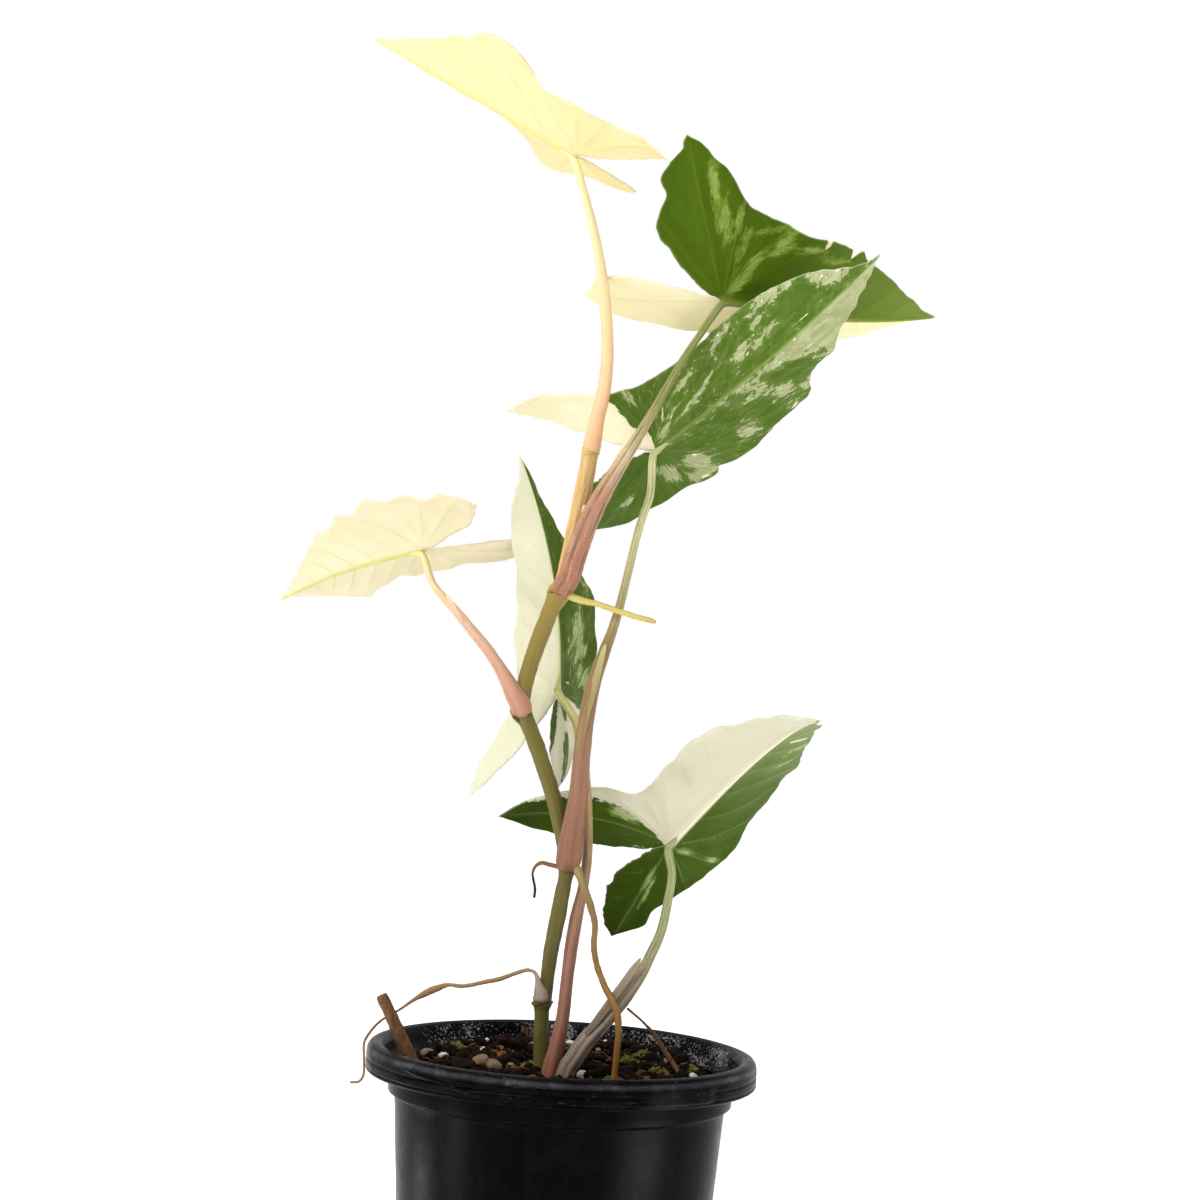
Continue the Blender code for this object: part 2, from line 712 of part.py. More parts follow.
def spine_points(leaf, count=41):
    """Points along the bent midrib, from the base to the tip."""
    points = [Vector((0.0, 0.0, 0.0))]
    ahead = [spine_turn(leaf, i / (count - 1)) @ Vector((1.0, 0.0, 0.0)) for i in range(count)]
    for before, after in zip(ahead, ahead[1:]):
        points.append(points[-1] + (before + after) / 2 * leaf.length / (count - 1))
    return points


def blade_point(leaf, half, mirror, spine, x, y, height):
    """Place in the blade's own frame of a point of the flat half blade."""
    x, y, lifted = bend_lobe(half, x, y)
    out, up = fold_half(leaf, half, x, y, lifted + height)
    share = min(max(x / leaf.length, 0.0), 1.0)
    step = share * (len(spine) - 1)
    low = min(int(step), len(spine) - 2)
    centre = spine[low].lerp(spine[low + 1], step - low)
    twist = Euler((math.radians(leaf.twist * share), 0.0, 0.0)).to_matrix()
    return centre + spine_turn(leaf, share) @ twist @ Vector((min(x, 0.0), mirror * out, up))


def add_half(sheet, leaf, half, mirror, spine):
    """Adds one half of the blade to the sheet, as a grid moved to its place."""
    rows = ROWS_MIDRIB + ROWS_LOBE
    made = bmesh.ops.create_grid(sheet, x_segments=rows, y_segments=STRIPS, size=1.0)["verts"]
    inner, outer = half_rails(leaf, half)
    for vertex in made:
        row = round((vertex.co.x + 1) / 2 * rows)
        out = (vertex.co.y + 1) / 2
        x, y = inner[row] + (outer[row] - inner[row]) * out
        wave = half.wave * out * out * math.sin(math.tau * half.waves * row / rows + half.phase)
        fade = math.sin(math.pi * row / rows)
        vertex.co = blade_point(leaf, half, mirror, spine, x, y, wave * fade) * MM
    if mirror > 0:
        faces = {face for vertex in made for face in vertex.link_faces}
        bmesh.ops.reverse_faces(sheet, faces=list(faces))


def weigh_midrib(thing, leaf, spine):
    """Makes the blade thicker along its midrib, less and less towards the tip."""
    group = thing.vertex_groups.new(name="thickness")
    thin = BLADE / MIDRIB
    for vertex in thing.data.vertices:
        place = vertex.co / MM
        away, step = min(((place - point).length, i) for i, point in enumerate(spine))
        on_midrib = away < 0.5 * leaf.length / (len(spine) - 1) + 0.01
        weight = 1.0 - (1.0 - thin) * step / (len(spine) - 1)
        group.add([vertex.index], weight if on_midrib else thin, "REPLACE")


def make_blade(leaf, collection, material):
    """A blade with its two basal lobes, folded, curled and waved, as one solid."""
    spine = spine_points(leaf)
    sheet = bmesh.new()
    add_half(sheet, leaf, leaf.left, 1.0, spine)
    add_half(sheet, leaf, leaf.right, -1.0, spine)
    bmesh.ops.remove_doubles(sheet, verts=sheet.verts, dist=WELD)
    bmesh.ops.triangulate(sheet, faces=sheet.faces)
    mesh = bpy.data.meshes.new(leaf.name)
    sheet.to_mesh(mesh)
    sheet.free()
    mesh.shade_smooth()
    blade = add_object(leaf.name, mesh, collection, material)
    blade.location = Vector(leaf.base) * MM
    blade.rotation_euler = leaf.turn()
    weigh_midrib(blade, leaf, spine)
    solid = blade.modifiers.new("thickness", "SOLIDIFY")
    solid.thickness = MIDRIB * MM
    solid.offset = -1.0
    solid.vertex_group = "thickness"
    return blade


def petiole_route(letter, leaf):
    """The petiole's own points, and its end just under the blade."""
    end = leaf.below(MIDRIB + GAP + PETIOLE_END_RADIUS + leaf.seat)
    return (*PETIOLES[letter], (*end, PETIOLE_END_RADIUS))


def main():
    """Builds the pot, the soil and the plant."""
    clear_scene()
    parts = make_collection("arrowhead_plant")
    cutters = make_collection("cutters")
    finishes = make_finishes()
    leaves = {leaf.name[-1]: leaf for leaf in LEAVES}
    routes = {letter: petiole_route(letter, leaf) for letter, leaf in leaves.items()}
    planted = {
        "stem": STEM, "petiole_E": routes["E"], "petiole_F": routes["F"], "brown_root": BROWN_ROOT,
        "cut_stump": CUT_STUMP, "dry_twig": DRY_TWIG,
    }
    pot = make_pot(parts, cutters, finishes["pot_plastic"])
    soil = make_soil(parts, cutters, finishes["potting_soil"], planted)
    attach(soil, pot)
    stem = tube("stem", STEM, parts, finishes["stem_skin"])
    attach(stem, soil)
    clear_of_stem = tube("clear_of_stem", STEM, cutters, None, GAP)
    hide_cutter(clear_of_stem)
    for letter, route in routes.items():
        petiole = tube("petiole_" + letter, route, parts, finishes["petiole_skin"])
        if letter in "BCD":
            cut(petiole, clear_of_stem)
        attach(petiole, soil if letter in "EF" else stem)
        leaf = leaves[letter]
        attach(make_blade(leaf, parts, finishes[leaf.finish]), petiole)
    for name, route, finish in (
        ("yellow_aerial_root", YELLOW_ROOT, "root_skin"),
        ("brown_root", BROWN_ROOT, "root_skin"),
        ("thin_root", THIN_ROOT, "root_skin"),
        ("dried_leaf_stalk", DRIED_STALK, "dry_fibre"),
    ):
        piece = tube(name, route, parts, finishes[finish])
        cut(piece, clear_of_stem)
        attach(piece, stem)
    attach(tube("cut_stump", CUT_STUMP, parts, finishes["dead_wood"]), soil)
    attach(tube("dry_twig", DRY_TWIG, parts, finishes["dead_wood"]), soil)


main()
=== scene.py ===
"""Looks of the arrowhead plant: fine meshes and finishes for every piece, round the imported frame.

Sizes are in millimetres and angles in degrees until a mesh is made, which is in metres.
"""

import logging
import math
import random
from dataclasses import dataclass, field
from enum import Enum

import bmesh
import bpy
import numpy as np
from bpy.types import Material, Mesh, Object
from mathutils import Euler, Matrix, Vector, noise


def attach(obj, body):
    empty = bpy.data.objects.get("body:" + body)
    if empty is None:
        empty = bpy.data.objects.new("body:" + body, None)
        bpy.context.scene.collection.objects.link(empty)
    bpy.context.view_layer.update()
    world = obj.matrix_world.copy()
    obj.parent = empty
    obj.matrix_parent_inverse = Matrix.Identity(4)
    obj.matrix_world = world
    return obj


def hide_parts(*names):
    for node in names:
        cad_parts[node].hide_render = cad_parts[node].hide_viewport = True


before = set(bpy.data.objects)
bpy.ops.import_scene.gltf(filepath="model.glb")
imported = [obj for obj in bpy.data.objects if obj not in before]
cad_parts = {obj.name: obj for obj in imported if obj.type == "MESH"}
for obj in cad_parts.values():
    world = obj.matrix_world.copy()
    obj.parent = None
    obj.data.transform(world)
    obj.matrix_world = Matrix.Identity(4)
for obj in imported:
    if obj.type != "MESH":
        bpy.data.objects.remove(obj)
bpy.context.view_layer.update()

MM = 0.001
LOG = logging.getLogger("arrowhead_plant")

Array = np.ndarray
Colour = tuple[float, float, float]
Place = tuple[float, float, float]
Route = tuple[tuple[float, float, float, float], ...]


class Value:
    """A shader socket that Python's arithmetic works on."""

    def __init__(self, tree: "Tree", socket: bpy.types.NodeSocket) -> None:
        """Keeps the socket and the tree that it belongs to."""
        self.tree = tree
        self.socket = socket

    def maths(self, operation: str, *others: "Value | float", clamp: bool = False) -> "Value":
        """One Math node on this value and the others.

        Args:
            operation: the node's operation.
            others: the second and third operand, as the operation needs them.
            clamp: keeps the result between 0 and 1.

        Returns:
            The node's result.
        """
        settings = {"operation": operation, "use_clamp": clamp}
        return self.tree.add("ShaderNodeMath", settings, dict(enumerate((self, *others))))

    def __add__(self, other: "Value | float") -> "Value":
        """Sum."""
        return self.maths("ADD", other)

    def __radd__(self, other: float) -> "Value":
        """Sum with a number on the left."""
        return self.maths("ADD", other)

    def __sub__(self, other: "Value | float") -> "Value":
        """Difference."""
        return self.maths("SUBTRACT", other)

    def __rsub__(self, other: float) -> "Value":
        """Difference from a number on the left."""
        return self.tree.add("ShaderNodeMath", {"operation": "SUBTRACT"}, {0: other, 1: self})

    def __mul__(self, other: "Value | float") -> "Value":
        """Product."""
        return self.maths("MULTIPLY", other)

    def __rmul__(self, other: float) -> "Value":
        """Product with a number on the left."""
        return self.maths("MULTIPLY", other)

    def size(self) -> "Value":
        """The value without its sign."""
        return self.maths("ABSOLUTE")

    def least(self, other: "Value | float") -> "Value":
        """The smaller of two."""
        return self.maths("MINIMUM", other)

    def rise(self, low: float, high: float) -> "Value":
        """0 at low, 1 at high and a smooth step between; high may lie below low."""
        share = ((self - low) * (1.0 / (high - low))).maths("ADD", 0.0, clamp=True)
        return share * share * (3.0 - 2.0 * share)

    def between(self, low: "Value | float", high: "Value | float") -> "Value":
        """Runs from low to high as this value runs from 0 to 1."""
        return self * (high - low) + low


Input = Value | float | tuple


class Tree:
    """The node tree of one material or world."""

    def __init__(self, owner: bpy.types.ID) -> None:
        """Empties the owner's tree.

        Args:
            owner: the material or world.
        """
        owner.use_nodes = True
        self.nodes = owner.node_tree.nodes
        self.links = owner.node_tree.links
        self.nodes.clear()

    def add(self, kind: str, settings: dict, sockets: dict, output: int | str | None = 0) -> Value | None:
        """Adds a node.

        Args:
            kind: the node's type.
            settings: its properties, set first; "stops" fills a colour ramp.
            sockets: values or links by the sockets' names, identifiers or places.
            output: the name, identifier or place of the socket to return, if any.

        Returns:
            That output.
        """
        node = self.nodes.new(kind)
        for name, setting in settings.items():
            if name == "stops":
                self.fill_ramp(node.color_ramp, setting)
            else:
                setattr(node, name, setting)
        for name, value in sockets.items():
            socket = self.find(node.inputs, name)
            if isinstance(value, Value):
                self.links.new(value.socket, socket)
            else:
                socket.default_value = value
        return None if output is None else Value(self, self.find(node.outputs, output))

    @staticmethod
    def find(sockets: bpy.types.bpy_prop_collection, name: int | str) -> bpy.types.NodeSocket:
        """The socket of that place, identifier or name."""
        same = (socket for socket in sockets if socket.identifier == name)
        return next(same, None) or sockets[name]

    @staticmethod
    def fill_ramp(ramp: bpy.types.ColorRamp, stops: tuple) -> None:
        """Gives a colour ramp its stops.

        Args:
            ramp: the node's ramp.
            stops: (place, colour) pairs.
        """
        while len(ramp.elements) < len(stops):
            ramp.elements.new(0.5)
        for element, (place, colour) in zip(ramp.elements, stops):
            element.position = place
            element.color = (*colour, 1.0)

    def split(self, vector: Value) -> tuple[Value, Value, Value]:
        """The three parts of a vector."""
        outputs = self.add("ShaderNodeSeparateXYZ", {}, {0: vector}).socket.node.outputs
        return Value(self, outputs[0]), Value(self, outputs[1]), Value(self, outputs[2])

    def read(self, name: str) -> tuple[Value, Value, Value]:
        """The three parts of a mesh's own vector attribute."""
        return self.split(self.add("ShaderNodeAttribute", {"attribute_name": name}, {}, "Vector"))

    def place(self) -> Value:
        """The place on the piece, in millimetres."""
        here = self.add("ShaderNodeTexCoord", {}, {}, "Object")
        return self.add("ShaderNodeVectorMath", {"operation": "SCALE"}, {0: here, "Scale": 1.0 / MM})

    def join(self, x: Input, y: Input, z: Input) -> Value:
        """A vector of three parts."""
        return self.add("ShaderNodeCombineXYZ", {}, {0: x, 1: y, 2: z})

    def noise(self, vector: Value, scale: float, detail: float = 2.0, rough: float = 0.5) -> Value:
        """Noise from 0 to 1 at a place, with its middle near 0.5."""
        sockets = {"Vector": vector, "Scale": scale, "Detail": detail, "Roughness": rough}
        return self.add("ShaderNodeTexNoise", {}, sockets, 0)

    def cells(self, vector: Value, scale: float, feature: str = "F1") -> Value:
        """Distance to the nearest cell's point, or to its edge."""
        sockets = {"Vector": vector, "Scale": scale}
        return self.add("ShaderNodeTexVoronoi", {"feature": feature}, sockets, 0)

    def blend(self, share: Input, low: Value | Colour, high: Value | Colour) -> Value:
        """Mixes two colours.

        Args:
            share: 0 for the low colour, 1 for the high.
            low: the low colour.
            high: the high colour.

        Returns:
            The mixed colour.
        """
        low = low if isinstance(low, Value) else (*low, 1.0)
        high = high if isinstance(high, Value) else (*high, 1.0)
        sockets = {"Factor_Float": share, "A_Color": low, "B_Color": high}
        return self.add("ShaderNodeMix", {"data_type": "RGBA"}, sockets, "Result_Color")

    def ramp(self, share: Value, stops: tuple) -> Value:
        """A colour from a ramp of (place, colour) stops."""
        return self.add("ShaderNodeValToRGB", {"stops": stops}, {0: share}, 0)

    def bump(self, height: Value, depth: float) -> Value:
        """A normal bent by a height of 0 to 1 that stands for this depth in millimetres."""
        return self.add("ShaderNodeBump", {}, {"Height": height, "Distance": depth * MM, "Strength": 1.0})


@dataclass(frozen=True)
class Finish:
    """A finish: its name, and the numbers that are the same all over it."""

    name: str
    specular: float = 0.5
    through: float = 0.0
    behind: Colour = (0.8, 0.7, 0.4)
    glow: float = 0.0

    def colour(self, tree: Tree) -> Value:
        """The colour over the surface."""
        raise NotImplementedError

    def roughness(self, tree: Tree) -> Input:
        """The roughness over the surface."""
        return 0.5

    def normal(self, tree: Tree) -> Value | None:
        """The bent normal, if the finish has fine relief."""
        return None

    def clearness(self, tree: Tree) -> Input:
        """How much of the light comes through from behind."""
        return self.through

    def make(self) -> Material:
        """Builds the material.

        Returns:
            A Principled material, mixed with light from behind where the finish lets it through.
        """
        material = bpy.data.materials.new(self.name)
        tree = Tree(material)
        colour = self.colour(tree)
        sockets = {
            "Base Color": colour, "Roughness": self.roughness(tree),
            "Specular IOR Level": self.specular,
        }
        normal = self.normal(tree)
        if normal is not None:
            sockets["Normal"] = normal
        if self.glow:
            sockets.update({"Emission Color": colour, "Emission Strength": self.glow})
        skin = tree.add("ShaderNodeBsdfPrincipled", {}, sockets)
        if self.through:
            back = tree.add("ShaderNodeBsdfTranslucent", {}, {"Color": (*self.behind, 1.0)})
            skin = tree.add("ShaderNodeMixShader", {}, {0: self.clearness(tree), 1: skin, 2: back})
        tree.add("ShaderNodeOutputMaterial", {}, {"Surface": skin}, None)
        return material


@dataclass(frozen=True)
class BladeFinish(Finish):
    """A variegated blade: cream, dark green and grey-green, marbled along its grain."""

    specular: float = 0.06
    through: float = 0.34
    cream: Colour = (0.78, 0.74, 0.48)
    # Painted shade: the darker, yellower cream of shaded folds
    shaded_cream: Colour = (0.72, 0.64, 0.30)
    cream_vein: Colour = (0.68, 0.62, 0.26)
    cream_veining: float = 0.45
    green: Colour = (0.060, 0.095, 0.012)
    light_green: Colour = (0.10, 0.15, 0.03)
    mid_green: Colour = (0.12, 0.18, 0.04)
    grey: Colour = (0.24, 0.275, 0.12)
    pale_grey: Colour = (0.36, 0.40, 0.22)
    green_vein: Colour = (0.14, 0.18, 0.04)
    midrib: Colour = (0.42, 0.42, 0.16)
    green_veining: float = 0.45
    tip_green: Colour = (0.12, 0.17, 0.03)
    tip: float = 0.0
    # Painted shade on the lobes: the colour they darken towards, and how far
    lobe_green: Colour = (0.018, 0.032, 0.002)
    painted_lobe_shade: float = 0.0
    length: float = 80.0
    marbling: float = 0.4
    flecks: float = 0.0
    dirt: float = 0.02
    dirt_brown: Colour = (0.09, 0.06, 0.035)
    seed: float = 0.0

    def grained(self, tree: Tree, across: float, along: float, shift: float, detail: float = 4.0) -> Value:
        """Noise of about -1 to 1, drawn out along the grain.

        Args:
            tree: the material's tree.
            across: size of its features over the grain, in millimetres.
            along: their size along the grain.
            shift: sets it apart from other noise.
            detail: how much fine noise is in it.

        Returns:
            The noise.
        """
        u, v, _ = tree.read("grain")
        place = tree.join(u * (1.0 / across), v * (1.0 / along), self.seed + shift)
        return (tree.noise(place, 1.0, detail, 0.62) - 0.5) * 4.0

    def greenness(self, tree: Tree) -> Value:
        """1 where the blade is green and 0 where it is cream, parted along a ragged edge.

        Args:
            tree: the material's tree.

        Returns:
            The mask.
        """
        green, _, _ = tree.read("tone")
        wander = self.grained(tree, 2.2, 8.0, 0.0) * (0.5 * self.marbling)
        ragged = self.grained(tree, 0.6, 2.4, 2.0) * 0.22
        return (green + wander + ragged).rise(-0.05, 0.05)

    def clearness(self, tree: Tree) -> Input:
        """The cream lets light through, the green does not."""
        return (1.0 - self.greenness(tree)) * self.through

    def vein_lines(self, tree: Tree, width: float) -> Value:
        """1 on a side vein and 0 beyond its width, fading towards the margin.

        Args:
            tree: the material's tree.
            width: half the width of a vein.

        Returns:
            The mask.
        """
        p, q, spacing = tree.read("flow")
        _, _, margin = tree.read("flat")
        away = (p - p.maths("ROUND")).size() * spacing
        uneven = tree.noise(tree.join(p.maths("ROUND") * 3.7, 0.5, self.seed), 1.0, 1.0).rise(0.25, 0.6)
        return away.rise(width, width * 0.15) * margin.rise(0.5, 6.0) * uneven

    def cream_colour(self, tree: Tree, lines: Value) -> Value:
        """Cream with painted shade in darker, yellower random clouds, fine strands and faint veins.

        Args:
            tree: the material's tree.
            lines: the side veins' mask.

        Returns:
            The colour.
        """
        x, y, _ = tree.read("flat")
        cloud = tree.noise(tree.join(x * 0.05, y * 0.05, self.seed + 7.0), 1.0, 3.0, 0.6)
        strands = self.grained(tree, 0.8, 14.0, 9.0, 3.0)
        # Painted shade: the darker, yellower cream of shaded folds, laid in random clouds
        pale = tree.blend((cloud + strands * 0.10).rise(0.42, 0.80), self.cream, self.shaded_cream)
        return tree.blend(lines * self.cream_veining, pale, self.cream_vein)

    def green_colour(self, tree: Tree, lines: Value) -> Value:
        """Dark green with lighter strands, painted shade on the lobes, ragged grey-green patches and pale flecks
        along the grain.

        Args:
            tree: the material's tree.
            lines: the side veins' mask.

        Returns:
            The colour.
        """
        x, _, _ = tree.read("flat")
        _, grey, _ = tree.read("tone")
        strands = self.grained(tree, 1.3, 16.0, 5.0, 3.0)
        dark = tree.blend(strands.rise(-0.7, 0.9), self.green, self.light_green)
        dark = tree.blend(x.rise(0.1 * self.length, self.length) * self.tip, dark, self.tip_green)
        # Painted shade: the lobes darkened towards lobe_green
        dark = tree.blend(x.rise(0.0, -0.2 * self.length) * self.painted_lobe_shade, dark, self.lobe_green)
        field = grey + self.grained(tree, 1.7, 6.0, 0.0) * self.marbling
        field = field + self.grained(tree, 0.6, 2.0, 3.0) * (0.6 * self.marbling)
        ground = tree.blend(self.grained(tree, 1.1, 6.0, 6.0).rise(-0.6, 0.9), self.grey, self.pale_grey)
        dark = tree.blend(field.rise(-0.30, -0.25) * 0.85, dark, self.mid_green)
        dark = tree.blend(field.rise(-0.02, 0.02), dark, ground)
        dark = tree.blend(lines * self.green_veining, dark, self.green_vein)
        if not self.flecks:
            return dark
        spots = self.grained(tree, 0.42, 2.0, 11.0) + field.rise(-0.6, 0.4) * 0.35
        spots = spots - grey.rise(0.3, 0.6) * 0.3
        return tree.blend(spots.rise(1.22 - self.flecks, 1.34 - self.flecks) * 0.9, dark, self.cream)

    def colour(self, tree: Tree) -> Value:
        """The two grounds, with the midrib, a thin rim and specks of dirt.

        Args:
            tree: the material's tree.

        Returns:
            The colour.
        """
        x, y, margin = tree.read("flat")
        _, _, rib = tree.read("tone")
        lines = self.vein_lines(tree, 0.55)
        mask = self.greenness(tree)
        mixed = tree.blend(mask, self.cream_colour(tree, lines), self.green_colour(tree, lines))
        mixed = tree.blend(rib * 0.85, mixed, self.midrib)
        mixed = tree.blend(margin.rise(0.40, 0.1) * (0.55 - mask * 0.35), mixed, self.cream)
        soiled = tree.noise(tree.join(x * 0.55, y * 0.55, self.seed + 21.0), 1.0, 3.0, 0.7)
        specks = soiled.rise(0.79 - self.dirt, 0.81 - self.dirt) * 0.8
        return tree.blend(specks, mixed, self.dirt_brown)

    def roughness(self, tree: Tree) -> Input:
        """Waxy, a little duller in patches."""
        x, y, _ = tree.read("flat")
        return tree.noise(tree.join(x * 0.2, y * 0.2, 2.0), 1.0, 3.0).between(0.36, 0.58)

    def normal(self, tree: Tree) -> Value | None:
        """Fine network of small veins over the side veins.

        Args:
            tree: the material's tree.

        Returns:
            The bent normal.
        """
        x, y, _ = tree.read("flat")
        flat = tree.join(x, y, self.seed)
        net = tree.cells(flat, 0.62, "DISTANCE_TO_EDGE").rise(0.0, 0.30)
        small = tree.cells(flat, 1.7, "DISTANCE_TO_EDGE").rise(0.0, 0.35)
        lines = self.vein_lines(tree, 0.5)
        strands = self.grained(tree, 1.1, 18.0, 5.0, 3.0)
        return tree.bump(net * 0.3 + small * 0.12 + strands * 0.12 - lines * 1.1, 0.08)


@dataclass(frozen=True)
class SkinFinish(Finish):
    """Skin of a stem or stalk: a run of colours along it, with streaks, specks and fine ridges."""

    specular: float = 0.2
    stops: tuple = ((0.0, (0.3, 0.3, 0.1)), (1.0, (0.3, 0.3, 0.1)))
    streak: Colour = (0.3, 0.2, 0.1)
    streaking: float = 0.4
    speck: Colour = (0.12, 0.07, 0.04)
    specks: float = 0.15
    gloss: float = 0.42
    lines: int = 0
    line: float = 0.5
    seed: float = 0.0

    def coils(self, tree: Tree, round_scale: float, along_scale: float) -> Value:
        """Noise wrapped round the tube.

        Args:
            tree: the material's tree.
            round_scale: scale round the tube.
            along_scale: scale along it.

        Returns:
            The noise.
        """
        along, turn, _ = tree.read("along")
        cosine = (turn * math.tau).maths("COSINE") * round_scale
        sine = (turn * math.tau).maths("SINE") * round_scale
        return tree.noise(tree.join(cosine, sine, along * along_scale + self.seed), 1.0, 4.0, 0.6)

    def colour(self, tree: Tree) -> Value:
        """The run of colours, streaked along, lined in the grooves between its ribs, and specked.

        Args:
            tree: the material's tree.

        Returns:
            The colour.
        """
        _, turn, share = tree.read("along")
        wander = self.coils(tree, 0.8, 0.12)
        base = tree.ramp((share + (wander - 0.5) * 0.10).maths("ADD", 0.0, clamp=True), self.stops)
        streaks = self.coils(tree, 3.0, 0.10).rise(0.48, 0.72)
        base = tree.blend(streaks * self.streaking, base, self.streak)
        if self.lines:
            groove = ((turn * (math.tau * self.lines) + self.seed).maths("COSINE")).rise(-0.55, -0.95)
            base = tree.blend(groove * (wander.rise(0.3, 0.6) * self.line), base, self.speck)
        specks = self.coils(tree, 5.0, 1.4).rise(0.72 - self.specks, 0.80 - self.specks)
        return tree.blend(specks * 0.6, base, self.speck)

    def roughness(self, tree: Tree) -> Input:
        """Smooth skin, duller in patches."""
        return self.coils(tree, 1.5, 0.4).between(self.gloss - 0.08, self.gloss + 0.14)

    def normal(self, tree: Tree) -> Value | None:
        """Fine lengthwise ridges."""
        return tree.bump(self.coils(tree, 4.5, 0.25), 0.12)


@dataclass(frozen=True)
class PlasticFinish(Finish):
    """Black moulded plastic, with scuffs, dust and watermarks, and painted light on its lip and rim."""

    specular: float = 0.022
    black: Colour = (0.0005, 0.0005, 0.0008)
    worn: Colour = (0.0022, 0.0022, 0.0030)
    # lip: greyer lip colour, partly wear and partly painted light for the light the lip catches
    lip: Colour = (0.012, 0.012, 0.015)
    # edge: colour of the painted highlight along the rim's top outer edge
    edge: Colour = (0.09, 0.09, 0.10)
    chalk: Colour = (0.30, 0.29, 0.28)
    # Heights where the lip starts: greyer there, partly with painted light, and more scratched
    lip_height: tuple[float, float] = (82.0, 84.0)
    dusty_height: tuple[float, float] = (86.0, 90.5)
    crust_height: tuple[float, float] = (82.5, 84.0)
    crust_radius: tuple[float, float] = (48.9, 47.4)
    # Heights and radii of the painted highlight on the rim's top outer edge
    painted_highlight_height: tuple[float, float] = (87.2, 88.6)
    painted_highlight_radius: tuple[float, float] = (51.6, 52.3)

    def band(self, place: tuple[Value, Value, Value], radius: tuple, height: tuple) -> Value:
        """Rises from 0 to 1 over a run of radius, and over a run of height.

        Args:
            place: the parts of the place on the piece.
            radius: where the run of radius starts and ends.
            height: where the run of height starts and ends.

        Returns:
            The product of the two.
        """
        x, y, z = place
        low, high = radius
        return (x * x + y * y).rise(low * low, high * high) * z.rise(*height)

    def dust(self, tree: Tree) -> Value:
        """Where dust and chalky water have dried on it: on the lip, and in specks inside the wall.

        Args:
            tree: the material's tree.

        Returns:
            The mask.
        """
        here = tree.place()
        x, y, z = tree.split(here)
        height = z.rise(*self.dusty_height)
        broad = tree.noise(here, 0.07, 4.0, 0.65)
        fine = tree.noise(here, 0.9, 3.0, 0.7)
        strewn = (broad - 0.56) * 2.4 + (fine - 0.5) * 1.2 - 0.22
        inside = self.band((x, y, z), self.crust_radius, self.crust_height)
        crust = (tree.noise(here, 1.5, 4.0, 0.7) + (broad - 0.5) * 0.7).rise(0.56, 0.66) * inside
        return (strewn.rise(0.05, 0.5) * (0.015 + height * 0.985) + crust * 1.4).least(1.0)

    def scratches(self, tree: Tree) -> Value:
        """Hairline scuffs.

        Args:
            tree: the material's tree.

        Returns:
            The mask.
        """
        x, y, z = tree.split(tree.place())
        long = tree.noise(tree.join(x * 0.35 + z * 0.15, y * 0.35, z * 4.5 + x * 0.5), 1.0, 2.0, 0.6)
        return long.rise(0.66, 0.70)

    def colour(self, tree: Tree) -> Value:
        """Black, greyer where it is worn, greyer on the lip with wear and painted light, with a painted
        highlight along the rim's top outer edge, pale where it is dusty.

        Args:
            tree: the material's tree.

        Returns:
            The colour.
        """
        here = tree.place()
        x, y, z = tree.split(here)
        wear = tree.noise(here, 0.12, 5.0, 0.62).rise(0.42, 0.75)
        lip = z.rise(*self.lip_height)
        base = tree.blend(wear, self.black, self.worn)
        streak = tree.noise(tree.join(x * 0.30, y * 0.30, z * 0.02), 1.0, 3.0, 0.6).rise(0.52, 0.74)
        base = tree.blend(streak * 0.5, base, self.worn)
        # Painted highlight: a pale band along the rim's top outer edge, patchy with the wear noise
        edge = self.band((x, y, z), self.painted_highlight_radius, self.painted_highlight_height)
        # Greyer lip: wear mixed with painted light, for the light the lip catches
        base = tree.blend(lip * (wear * 0.25 + 0.02), base, self.lip)
        base = tree.blend(edge * (wear * 0.5 + 0.2), base, self.edge)
        base = tree.blend(self.scratches(tree) * (0.012 + lip * 0.10), base, self.chalk)
        return tree.blend(self.dust(tree) * 0.7, base, self.chalk)

    def roughness(self, tree: Tree) -> Input:
        """Satin, dull where it is dusty."""
        wear = tree.noise(tree.place(), 0.2, 4.0, 0.6).between(0.14, 0.42)
        return wear + self.dust(tree) * 0.3

    def normal(self, tree: Tree) -> Value | None:
        """A faint moulded grain."""
        grain = tree.noise(tree.place(), 3.2, 3.0, 0.6)
        return tree.bump(grain - self.scratches(tree) * 0.4, 0.03)


